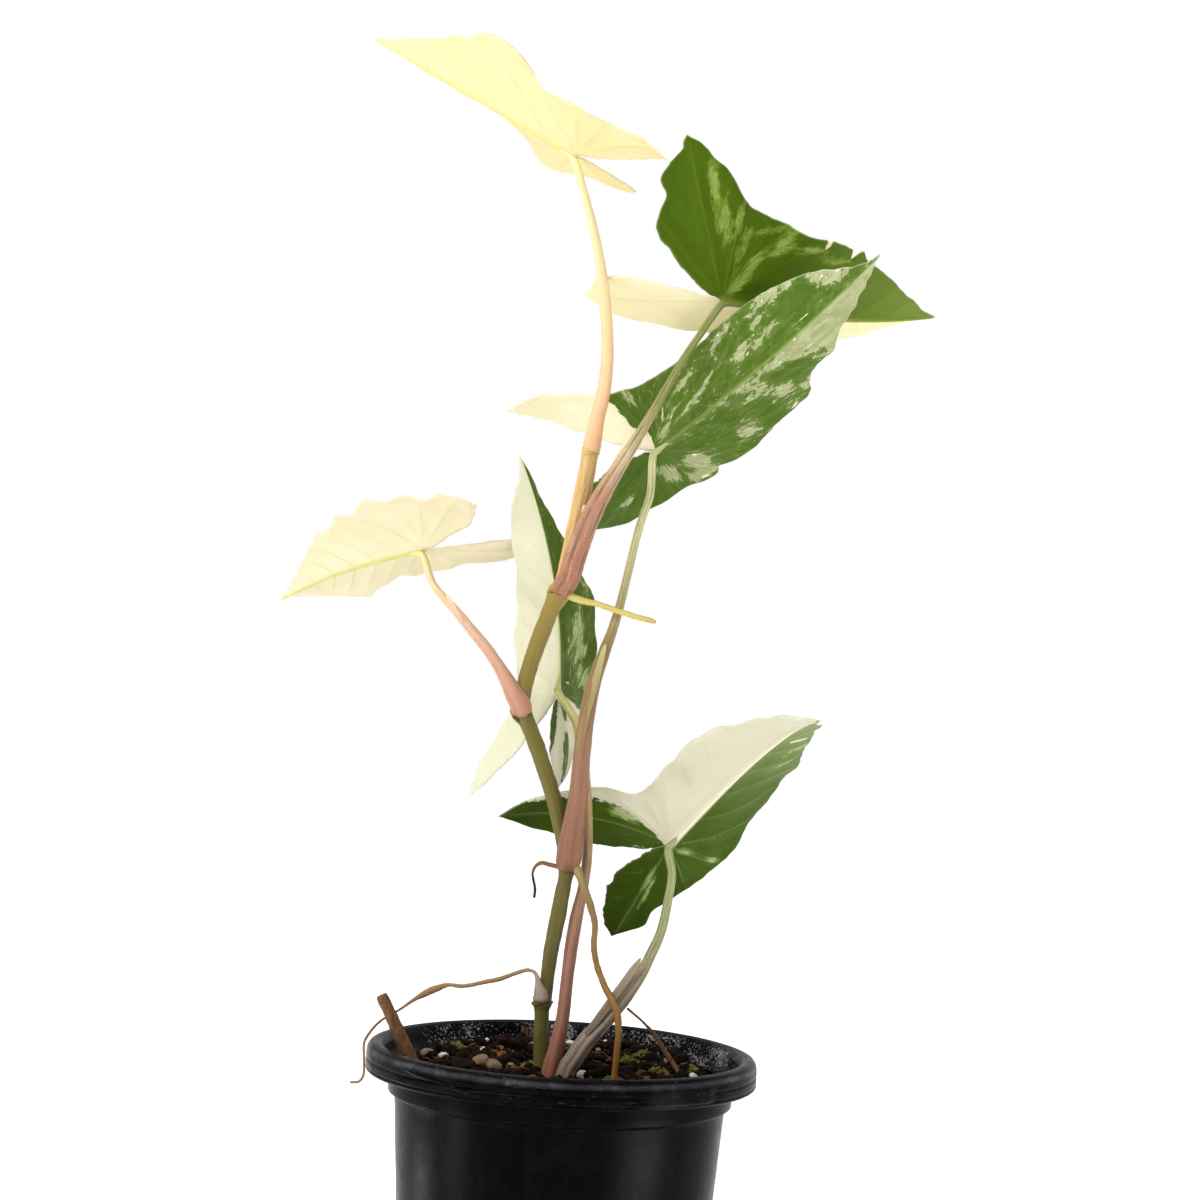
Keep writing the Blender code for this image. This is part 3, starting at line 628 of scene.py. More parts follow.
@dataclass(frozen=True)
class GrainFinish(Finish):
    """Soil, perlite, bark, moss, wood or paper: mottled at two scales, rough and pitted."""

    specular: float = 0.035
    dark: Colour = (0.0012, 0.0006, 0.0004)
    light: Colour = (0.0085, 0.0042, 0.0028)
    speck: Colour = (0.05, 0.03, 0.018)
    broad: float = 0.25
    fine: float = 1.8
    specks: float = 0.1
    pits: float = 0.25
    rough: float = 0.85
    stretch: Place = (1.0, 1.0, 1.0)

    def here(self, tree: Tree) -> Value:
        """The place, squeezed along the grain."""
        squeeze = {"operation": "MULTIPLY"}
        return tree.add("ShaderNodeVectorMath", squeeze, {0: tree.place(), 1: self.stretch})

    def colour(self, tree: Tree) -> Value:
        """Dark and light mottling with specks.

        Args:
            tree: the material's tree.

        Returns:
            The colour.
        """
        here = self.here(tree)
        mottle = tree.noise(here, self.broad, 5.0, 0.65).rise(0.34, 0.66)
        grain = tree.noise(here, self.fine, 4.0, 0.6)
        base = tree.blend(mottle * 0.6 + grain.rise(0.35, 0.7) * 0.4, self.dark, self.light)
        return tree.blend(grain.rise(0.72 - self.specks, 0.76 - self.specks) * 0.8, base, self.speck)

    def roughness(self, tree: Tree) -> Input:
        """Rough, a little less so on worn grains."""
        grain = tree.noise(self.here(tree), self.fine, 2.0)
        return grain.between(self.rough - 0.12, min(self.rough + 0.1, 1.0))

    def normal(self, tree: Tree) -> Value | None:
        """Pits and grain.

        Args:
            tree: the material's tree.

        Returns:
            The bent normal.
        """
        here = self.here(tree)
        grain = tree.noise(here, self.fine * 1.5, 5.0, 0.7)
        return tree.bump(grain + tree.cells(here, self.fine) * 0.4, self.pits)


@dataclass
class Shell:
    """Points, faces and per-point vectors of a mesh in the making, in millimetres."""

    points: Array
    faces: list
    values: dict = field(default_factory=dict)

    def weld(self) -> "Shell":
        """Joins points in the same place and drops the faces that vanish.

        Returns:
            The welded shell.
        """
        keys = np.round(self.points * 1000.0).astype(np.int64)
        _, first, same = np.unique(keys, axis=0, return_index=True, return_inverse=True)
        same = same.ravel()
        faces = []
        for face in self.faces:
            ring = [int(same[i]) for i in face]
            ring = [n for i, n in enumerate(ring) if n != ring[i - 1]]
            if len(set(ring)) > 2:
                faces.append(tuple(ring))
        values = {name: rows[first] for name, rows in self.values.items()}
        return Shell(self.points[first], faces, values)

    def mesh(self, name: str) -> Mesh:
        """The shell as a smooth mesh in metres.

        Args:
            name: the mesh's name.

        Returns:
            The mesh.
        """
        mesh = bpy.data.meshes.new(name)
        mesh.from_pydata((self.points * MM).tolist(), [], self.faces)
        for key, rows in self.values.items():
            made = mesh.attributes.new(key, "FLOAT_VECTOR", "POINT")
            made.data.foreach_set("vector", np.asarray(rows, np.float32).ravel())
        mesh.shade_smooth()
        return mesh

    @staticmethod
    def join(shells: list["Shell"]) -> "Shell":
        """Several shells as one.

        Args:
            shells: what to join, all with the same vectors.

        Returns:
            The joined shell.
        """
        faces = []
        start = 0
        for shell in shells:
            faces += [tuple(i + start for i in face) for face in shell.faces]
            start += len(shell.points)
        values = {
            name: np.vstack([shell.values[name] for shell in shells]) for name in shells[0].values
        }
        return Shell(np.vstack([s.points for s in shells]), faces, values)


def grid_faces(
    rows: int, columns: int, start: int = 0, closed: bool = False, flip: bool = False,
) -> list[tuple[int, ...]]:
    """Quads of a grid of points, row by row, closed round its rows or open.

    Args:
        rows: how many rows.
        columns: points in a row.
        start: number of the first point.
        closed: joins each row's end to its start.
        flip: turns the faces over.

    Returns:
        The faces.
    """
    made = []
    for r in range(rows - 1):
        for c in range(columns if closed else columns - 1):
            a = start + r * columns + c
            b = start + r * columns + (c + 1) % columns
            ring = (a, b, b + columns, a + columns)
            made.append(ring[::-1] if flip else ring)
    return made


def add_object(name: str, data: bpy.types.ID) -> Object:
    """Makes an object and puts it in the scene.

    Args:
        name: its name.
        data: its mesh, light or camera.

    Returns:
        The object.
    """
    made = bpy.data.objects.new(name, data)
    bpy.context.scene.collection.objects.link(made)
    return made


def circle(count: int) -> Array:
    """Evenly spread directions, in radians."""
    return np.linspace(0.0, math.tau, count, endpoint=False)


def around(radius: Array | float, turn: Array, z: Array) -> Array:
    """Points at these distances from the axis, directions and heights."""
    return np.stack([radius * np.cos(turn), radius * np.sin(turn), z], -1)


def distances(points: Array) -> Array:
    """Distance along a line of points, from the first to each."""
    return np.concatenate([[0.0], np.cumsum(np.linalg.norm(np.diff(points, axis=0), axis=1))])


def dress(name: str, shell: Shell, finish: Finish, stands_for: tuple = ()) -> Object:
    """Args:
        name: the piece's name.
        shell: its points and faces.
        finish: its finish.
        stands_for: the nodes that it replaces.

    Returns:
        The piece.
    """
    mesh = shell.mesh(name)
    piece = add_object(name, mesh)
    mesh.materials.append(finish.make())
    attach(piece, "root")
    if stands_for:
        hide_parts(*stands_for)
    triangles = sum(len(face) - 2 for face in shell.faces)
    LOG.info("%s: %d triangles", name, triangles)
    return piece


def smooth_line(points: list | tuple | Array, count: int) -> Array:
    """Evenly spread samples of a centripetal Catmull-Rom line through the points.

    Args:
        points: what it runs through.
        count: how many samples.

    Returns:
        The samples.
    """
    points = np.array(points, float)
    held = np.vstack([2 * points[0] - points[1], points, 2 * points[-1] - points[-2]])
    knots = np.concatenate([[0.0], np.cumsum(np.linalg.norm(np.diff(held, axis=0), axis=1) ** 0.5)])
    along = distances(points)
    wanted = np.interp(np.linspace(0.0, along[-1], count), along, knots[1:-1])
    span = np.clip(np.searchsorted(knots, wanted, side="right") - 1, 1, len(points) - 1)
    p = [held[span - 1 + j] for j in range(4)]
    k = [knots[span - 1 + j] for j in range(4)]

    def run(low: Array, high: Array, a: Array, b: Array) -> Array:
        """The straight run between two rows of points, at the wanted knots."""
        return low + (high - low) * ((wanted - a) / (b - a))[:, None]

    one = [run(p[j], p[j + 1], k[j], k[j + 1]) for j in range(3)]
    two = [run(one[j], one[j + 1], k[j], k[j + 2]) for j in range(2)]
    return run(two[0], two[1], k[1], k[2])


def ease(value: Array | float, low: float, high: float) -> Array | float:
    """A smooth step from 0 at low to 1 at high."""
    share = np.clip((value - low) / (high - low), 0.0, 1.0)
    return share * share * (3.0 - 2.0 * share)


def lumps(points: Array, scale: float, octaves: int = 3, seed: float = 0.0) -> Array:
    """Noise of about -1 to 1 at each point. The scale is the size of a lump."""
    shift = Vector((seed, seed * 1.7, seed * 0.3))
    return np.array([noise.fractal(Vector(p) / scale + shift, 0.7, 2.1, octaves) for p in points.tolist()])


# How the flat blade is laid out, as in the part's own source
ROWS_MIDRIB = 12
ROWS_LOBE = 7
STATIONS = (0.92, 0.78, 0.60, 0.42, 0.23, 0.05)
# Where a lobe's lift starts along it, its least lift in radians, the share of the blade that the
# base's own fold reaches, and the steps of the spine
LIFT_START = 0.30
LIFT_LEAST = 1e-6
BASE_REACH = 0.45
SPINE_STEPS = 40
# Side veins: spaces along the blade and over the lobe, and how a vein leans and bends forward
SPACES = 7.0
LOBE_SPACES = 3.0
VEIN_LEAN = 0.95
VEIN_BEND = 0.012
# Width of a vein, and of the flat beside it, on the fine blade
VEIN_WIDE = 0.75
VALLEY_WIDE = 2.4
# Distance that stands for having no margin on the midrib's side
FAR_OFF = 99.0


class Tone(Enum):
    """What a patch of a blade is made to be."""

    CREAM = "cream"
    GREEN = "green"
    GREY = "grey"
    CLEAR = "clear of grey"


CREAM, GREEN, GREY, CLEAR = Tone


@dataclass(frozen=True)
class Patch:
    """A patch of a half blade with its own tone: an ellipse on the flat blade.

    A grey or cream patch of low strength is broken up by the marbling.
    """

    tone: Tone
    at: tuple[float, float]
    size: tuple[float, float]
    turn: float = 0.0
    strength: float = 0.0

    def weight(self, x: Array, y: Array) -> Array:
        """How much each point belongs to the patch, from 0 to 1.

        Args:
            x: distance along the midrib.
            y: distance out from it.

        Returns:
            The weights.
        """
        angle = math.radians(self.turn)
        dx = x - self.at[0]
        dy = y - self.at[1]
        along = (dx * math.cos(angle) + dy * math.sin(angle)) / self.size[0]
        across = (dy * math.cos(angle) - dx * math.sin(angle)) / self.size[1]
        return np.exp(-0.8 * (along ** 2 + across ** 2))


def patches(*rows: tuple) -> tuple[Patch, ...]:
    """Patches from rows of tone, place (2), size (2), and the turn and strength if given."""
    return tuple(Patch(row[0], row[1:3], row[3:5], *row[5:]) for row in rows)


@dataclass(frozen=True)
class Half:
    """One half of a blade, from the midrib out, with its basal lobe and its tones."""

    widths: tuple
    fold: float
    base_fold: float
    curl: float
    lobe: float
    spread: float
    lobe_width: float
    lift: float
    wave: float = 0.8
    waves: float = 2.5
    phase: float = 0.0
    green: float = -1.0
    grey: float = -1.0
    lobe_green: float = -1.0
    lobe_grey: float = -1.0
    patches: tuple = ()
    nicks: tuple = ()
    lobe_nicks: tuple = ()
    ragged: float = 0.5

    def edge(self, share: Array, nicks: tuple, seed: float) -> Array:
        """How far the margin stands out from its smooth line, at shares of its length.

        Args:
            share: shares of the margin's length.
            nicks: place, amount and width of each.
            seed: sets the wobble apart.

        Returns:
            The offsets.
        """
        broad = [noise.noise(Vector((s * 16.0, seed * 3.1, 0.5))) for s in share.tolist()]
        small = [0.5 * noise.noise(Vector((s * 45.0, seed, 2.0))) for s in share.tolist()]
        offset = self.ragged * (np.array(broad) + np.array(small))
        for place, amount, width in nicks:
            offset = offset + amount * np.exp(-((share - place) / width) ** 2)
        return offset * np.clip(np.sin(np.pi * share) * 6.0, 0.0, 1.0)


@dataclass(frozen=True)
class Blade:
    """A leaf blade: where it sits, how its spine bends, and how finely it is made."""

    letter: str
    base: Place
    azimuth: float
    rise: float
    roll: float
    length: float
    droop: float
    droop_more: float
    sweep: float
    twist: float
    left: Half
    right: Half
    finish: BladeFinish
    slot: str = "leaf_cream"
    fineness: int = 9
    strips: int = 36
    thick: float = 0.5
    rib: float = 0.8
    rib_colour: float = 1.1
    rib_wide: float = 1.6
    groove: float = 0.30
    pucker: float = 0.30
    buckle: float = 0.65
    buckle_size: float = 13.0

    def turn(self) -> Matrix:
        """Rotation of the blade."""
        angles = (math.radians(self.roll), math.radians(-self.rise), math.radians(self.azimuth))
        return Euler(angles).to_matrix()

    def along(self, distance: float, depth: float) -> Place:
        """The point this far along the midrib from its base, and this far under it."""
        return tuple(Vector(self.base) + self.turn() @ Vector((distance, 0.0, -depth)))

    def rails(self, half: Half) -> tuple[Array, Array]:
        """Inner and outer edge of the flat half blade, tip first.

        Args:
            half: the half blade.

        Returns:
            The two lines.
        """
        angle = math.radians(half.spread)
        out = np.array([math.cos(angle), math.sin(angle)])
        side = np.array([math.sin(angle), -math.cos(angle)])
        reach = half.lobe
        wide = half.lobe_width
        outer = [(self.length, 0.0)]
        outer += [(share * self.length, width) for share, width in zip(STATIONS, half.widths)]
        lobe_outer = ((0.50, 0.95), (0.82, 0.55))
        lobe_inner = ((0.10, 0.35), (0.45, 0.85), (0.80, 0.60))
        outer += [a * reach * out + b * wide * side for a, b in lobe_outer] + [reach * out]
        inner = [(0.0, 0.0)] + [a * reach * out - b * wide * side for a, b in lobe_inner] + [reach * out]
        count = ROWS_MIDRIB * self.fineness + 1
        midrib = np.stack([np.linspace(self.length, 0.0, count), np.zeros(count)], 1)
        inner_line = np.vstack([midrib, smooth_line(inner, ROWS_LOBE * self.fineness + 1)[1:]])
        return inner_line, smooth_line(outer, (ROWS_MIDRIB + ROWS_LOBE) * self.fineness + 1)

    def bent(self, half: Half, mirror: float, x: Array, y: Array, height: Array, relief: Array) -> Array:
        """Places of points of the flat half blade, after the lobe, fold and spine bend them.

        Args:
            half: the half blade.
            mirror: 1 for the left half and -1 for the right.
            x: distance along the midrib from the base.
            y: distance out from the midrib.
            height: height over the flat blade.
            relief: further height, which both halves share along the midrib.

        Returns:
            The places, in the scene.
        """
        angle = math.radians(half.spread)
        reach = x * math.cos(angle) + y * math.sin(angle)
        start = LIFT_START * half.lobe
        span = half.lobe - start
        turn = math.radians(half.lift) or LIFT_LEAST
        share = np.clip((reach - start) / span, 0.0, 1.3)
        past = reach > start
        moved = np.where(past, start + span / turn * np.sin(turn * share) - reach, 0.0)
        x = x + moved * math.cos(angle)
        y = y + moved * math.sin(angle)
        height = height + np.where(past, span / turn * (1 - np.cos(turn * share)), 0.0)
        near = 1.0 - ease(x, 0.0, BASE_REACH * self.length)
        fold = np.radians(half.fold + (half.base_fold - half.fold) * near)
        curl = math.radians(half.curl) / half.widths[4]
        lean = fold + curl * y
        tilt = lean * ease(y, 0.0, 2.2)
        out = (np.sin(lean) - np.sin(fold)) / curl - height * np.sin(lean) - relief * np.sin(tilt)
        up = -(np.cos(lean) - np.cos(fold)) / curl + height * np.cos(lean) + relief * np.cos(tilt)
        return self.along_spine(x, mirror * out, up)

    def along_spine(self, x: Array, out: Array, up: Array) -> Array:
        """Carries points along the bent, turned and twisted spine to their places.

        Args:
            x: distance along the midrib.
            out: distance to the left of it.
            up: height over it.

        Returns:
            The places, in the scene.
        """
        share = np.clip(x / self.length, 0.0, 1.0)
        steps = np.linspace(0.0, 1.0, SPINE_STEPS + 1)
        droop = np.radians(self.droop * steps + self.droop_more * steps ** 2)
        sweep = np.radians(self.sweep * steps)
        ahead = np.stack([np.cos(droop) * np.cos(sweep), np.cos(droop) * np.sin(sweep), -np.sin(droop)], 1)
        middle = (ahead[1:] + ahead[:-1]) / 2 * self.length / SPINE_STEPS
        spine = np.vstack([np.zeros(3), np.cumsum(middle, axis=0)])
        centre = np.stack([np.interp(share, steps, spine[:, i]) for i in range(3)], -1)
        a = np.radians(self.twist * share)
        b = np.radians(self.droop * share + self.droop_more * share ** 2)
        c = np.radians(self.sweep * share)
        vx = np.minimum(x, 0.0)
        vy = out * np.cos(a) - up * np.sin(a)
        vz = out * np.sin(a) + up * np.cos(a)
        wx = vx * np.cos(b) + vz * np.sin(b)
        wz = -vx * np.sin(b) + vz * np.cos(b)
        turned = [wx * np.cos(c) - vy * np.sin(c), wx * np.sin(c) + vy * np.cos(c), wz]
        place = centre + np.stack(turned, -1)
        return place @ np.array(self.turn()).T + np.array(self.base)

    def half_shell(self, half: Half, mirror: float) -> Shell:
        """Both faces of a half blade, with its veins, puckers, waves and markings.

        Args:
            half: the half blade.
            mirror: 1 for the left half and -1 for the right.

        Returns:
            The shell.
        """
        inner, outer = self.rails(half)
        rows = len(inner)
        step = np.linspace(0.0, 1.0, self.strips + 1)
        out = (0.45 * step + 0.55 * (0.5 - 0.5 * np.cos(np.pi * step)))[None]
        row = np.linspace(0.0, 1.0, rows)[:, None]
        across = outer - inner
        width = np.linalg.norm(across, axis=1)[:, None]
        outward = across / np.maximum(width, 1.5)
        first = ROWS_MIDRIB * self.fineness
        outer = outer + outward * half.edge(row[:, 0], half.nicks, half.phase + mirror)[:, None]
        lobe_share = np.linspace(0.0, 1.0, rows - first)
        lobe_edge = half.edge(lobe_share, half.lobe_nicks, half.phase - mirror)
        inner[first:] -= outward[first:] * lobe_edge[:, None]
        flat = inner[:, None] + (outer - inner)[:, None] * out[..., None]
        x = flat[..., 0]
        y = flat[..., 1]
        in_lobe = np.arange(rows)[:, None] > first
        margin = np.minimum((1 - out) * width, np.where(in_lobe, out * width, FAR_OFF))
        p, q, spacing = self.flow(half, x, y)
        wave = half.wave * out ** 2 * np.sin(math.tau * half.waves * row + half.phase)
        ripple = 0.4 * out ** 4 * np.sin(math.tau * half.waves * 3.1 * row + 2.0 * half.phase)
        height = (wave + ripple) * np.sin(np.pi * row)
        away = np.abs(p - np.round(p)) * spacing
        inward = ease(margin, 0.3, 5.0) * ease(y, 0.3, 3.0)
        near_vein = np.exp(-(away / VEIN_WIDE) ** 2) * inward
        pucker = self.pucker * (1.0 - np.exp(-(away / VALLEY_WIDE) ** 2)) * inward
        share = np.clip(x / self.length, 0.0, 1.0)
        rib_wide = self.rib_wide * (1.0 - 0.75 * share)
        rib = np.where(x > -1.5, np.sqrt(np.clip(1.0 - (y / rib_wide) ** 2, 0.0, 1.0)), 0.0)
        rib = rib * self.rib * (1.0 - 0.78 * share) * ease(x, -1.5, 0.5)
        groove = self.groove * np.exp(-(y / 0.8) ** 2) * (x > 0.0) * (1.0 - 0.6 * share)
        body = self.thick * np.sqrt(np.clip(margin / 0.7, 0.0, 1.0))
        sheet = np.stack([x, mirror * y, 0.0 * x], -1).reshape(-1, 3)
        buckle = self.buckle * lumps(sheet, self.buckle_size, 2, half.phase)
        pucker = pucker + buckle.reshape(x.shape) * ease(margin, 0.0, 3.0) * ease(y, 0.0, 4.0)
        edge = ease(margin, 0.0, 1.0)
        top_relief = (pucker - groove - 0.08 * near_vein) * edge
        low_relief = pucker * edge - body - rib - 0.16 * near_vein * ease(margin, 0.0, 2.0)
        top = self.bent(half, mirror, x, y, height, top_relief)
        low = self.bent(half, mirror, x, y, height, low_relief)
        points = np.vstack([top.reshape(-1, 3), low.reshape(-1, 3)])
        columns = self.strips + 1
        faces = grid_faces(rows, columns, flip=mirror > 0)
        faces += grid_faces(rows, columns, start=rows * columns, flip=mirror < 0)
        green, grey = self.tones(half, x, y, p)
        coloured = self.rib_colour * (1.0 - 0.7 * share) + 0.05
        near_rib = np.exp(-(y / coloured) ** 4) * ease(x, -2.0, 1.0)
        reach = np.hypot(x, y)
        turn = np.arctan2(y, x + 1e-9)
        power = 0.55 * (1.0 - ease(turn, math.radians(40.0), math.radians(100.0)))
        grain = 20.0 * turn * (reach / 20.0 + 0.02) ** power
        values = {
            "flat": np.stack([x, mirror * y, margin], -1),
            "flow": np.stack([p, mirror * (q + 20.0), spacing], -1),
            "tone": np.stack([green, grey, near_rib], -1),
            "grain": np.stack([mirror * (grain + 30.0), reach, 0.0 * x], -1),
        }
        doubled = {name: np.vstack([part.reshape(-1, 3)] * 2) for name, part in values.items()}
        return Shell(points, faces, doubled)

    def flow(self, half: Half, x: Array, y: Array) -> tuple[Array, Array, Array]:
        """How the side veins run at flat points.

        Args:
            half: the half blade.
            x: distance along the midrib.
            y: distance out from it.

        Returns:
            Vein number, distance along the vein, and the space between veins.
        """
        space = self.length / SPACES
        ahead = x - VEIN_LEAN * y - VEIN_BEND * y * y
        first = math.degrees(math.atan2(1.0, VEIN_LEAN))
        turn = np.degrees(np.arctan2(y, x + 1e-9))
        part = (half.spread - first) / LOBE_SPACES
        reach = np.hypot(x, y)
        fan = -(turn - first) / part
        fanned = turn > first
        blend_fan = ease(turn, first - 12.0, first + 6.0)
        p = np.where(fanned, fan, ahead / space)
        p = blend_fan * np.minimum(fan, p) + (1 - blend_fan) * p
        spacing = np.where(fanned, reach * math.radians(part), space)
        return p, np.where(fanned, reach, y * 1.2), spacing

    def tones(self, half: Half, x: Array, y: Array, p: Array) -> tuple[Array, Array]:
        """How green and how grey the half blade is at flat points.

        Args:
            half: the half blade.
            x: distance along the midrib.
            y: distance out from it.
            p: vein number.

        Returns:
            Green and grey, about -1 to 1.
        """
        lobe = ease(-p, 0.6, 1.8)
        green = half.green + (half.lobe_green - half.green) * lobe
        grey = half.grey + (half.lobe_grey - half.grey) * lobe
        for patch in half.patches:
            weight = patch.weight(x, y)
            if patch.tone in (Tone.CREAM, Tone.GREEN):
                wanted = 1.0 if patch.tone is Tone.GREEN else -(patch.strength or 1.0)
                green = green + (wanted - green) * weight
            else:
                wanted = (patch.strength or 0.22) if patch.tone is Tone.GREY else -0.9
                grey = grey + (wanted - grey) * weight
        return green, grey

    def build(self) -> Object:
        """Makes the blade.

        Returns:
            The piece.
        """
        halves = [self.half_shell(self.left, 1.0), self.half_shell(self.right, -1.0)]
        name = "leaf_" + self.letter
        shell = Shell.join(halves).weld()
        return dress(name, shell, self.finish, ("blade_" + self.letter,))


LEAF_A = BladeFinish(
    "cream_blade_A", cream=(0.79, 0.71, 0.45), shaded_cream=(0.74, 0.67, 0.35),
    cream_vein=(0.74, 0.64, 0.22), midrib=(0.72, 0.64, 0.22), cream_veining=0.4,
    dirt=0, seed=1, behind=(0.84, 0.75, 0.42), length=65,
)
LEAF_B = BladeFinish(
    "half_green_blade_B", cream=(0.82, 0.77, 0.55), shaded_cream=(0.76, 0.71, 0.44),
    green=(0.046, 0.088, 0.001), light_green=(0.056, 0.102, 0.002), mid_green=(0.11, 0.175, 0.016),
    grey=(0.15, 0.21, 0.03), pale_grey=(0.23, 0.29, 0.08), green_vein=(0.12, 0.18, 0.012),
    midrib=(0.2, 0.26, 0.03), tip_green=(0.155, 0.222, 0.035), tip=0.8, marbling=0.42,
    green_veining=0.25, flecks=0.14, seed=2, behind=(0.82, 0.75, 0.46), length=73,
)
LEAF_C = BladeFinish(
    "marbled_blade_C", cream=(0.85, 0.79, 0.63), shaded_cream=(0.8, 0.75, 0.56),
    cream_vein=(0.84, 0.8, 0.52), green=(0.053, 0.1, 0.008), light_green=(0.078, 0.132, 0.015),
    mid_green=(0.09, 0.145, 0.024), grey=(0.25, 0.275, 0.12), pale_grey=(0.37, 0.4, 0.22),
    green_vein=(0.14, 0.19, 0.04), midrib=(0.16, 0.21, 0.05), marbling=0.5, green_veining=0.3,
    flecks=0.42, seed=3, behind=(0.9, 0.86, 0.6), length=90,
)
LEAF_D = BladeFinish(
    "cream_blade_D", cream=(0.75, 0.69, 0.51), shaded_cream=(0.68, 0.63, 0.42),
    cream_vein=(0.6, 0.62, 0.26), midrib=(0.56, 0.58, 0.16), cream_veining=0.8,
    dirt=0.035, seed=4, behind=(0.76, 0.69, 0.48), length=52,
)
LEAF_E = BladeFinish(
    "half_marbled_blade_E", cream_veining=0.2, cream=(0.7, 0.69, 0.54), shaded_cream=(0.65, 0.64, 0.46),
    green=(0.048, 0.084, 0.007), light_green=(0.062, 0.1, 0.012), mid_green=(0.105, 0.15, 0.03),
    grey=(0.23, 0.28, 0.12), pale_grey=(0.36, 0.41, 0.21), green_vein=(0.14, 0.18, 0.05),
    midrib=(0.7, 0.7, 0.4), marbling=0.5, green_veining=0.3, flecks=0.3, seed=5,
    behind=(0.72, 0.71, 0.5), length=70,
)
# Leaf F's lobes are darkened with painted shade
LEAF_F = BladeFinish(
    "half_green_blade_F", painted_lobe_shade=0.45, cream_veining=0.15, cream=(0.63, 0.62, 0.5),
    shaded_cream=(0.57, 0.55, 0.41),
    green=(0.038, 0.068, 0.004), light_green=(0.052, 0.09, 0.008), mid_green=(0.1, 0.155, 0.03),
    grey=(0.19, 0.26, 0.08), pale_grey=(0.32, 0.38, 0.18), green_vein=(0.17, 0.23, 0.08),
    midrib=(0.74, 0.71, 0.5), tip_green=(0.19, 0.235, 0.08), tip=0.8, marbling=0.3,
    green_veining=0.32, flecks=0.1, dirt=0.07, seed=6,
    behind=(0.78, 0.72, 0.5), length=81,
)

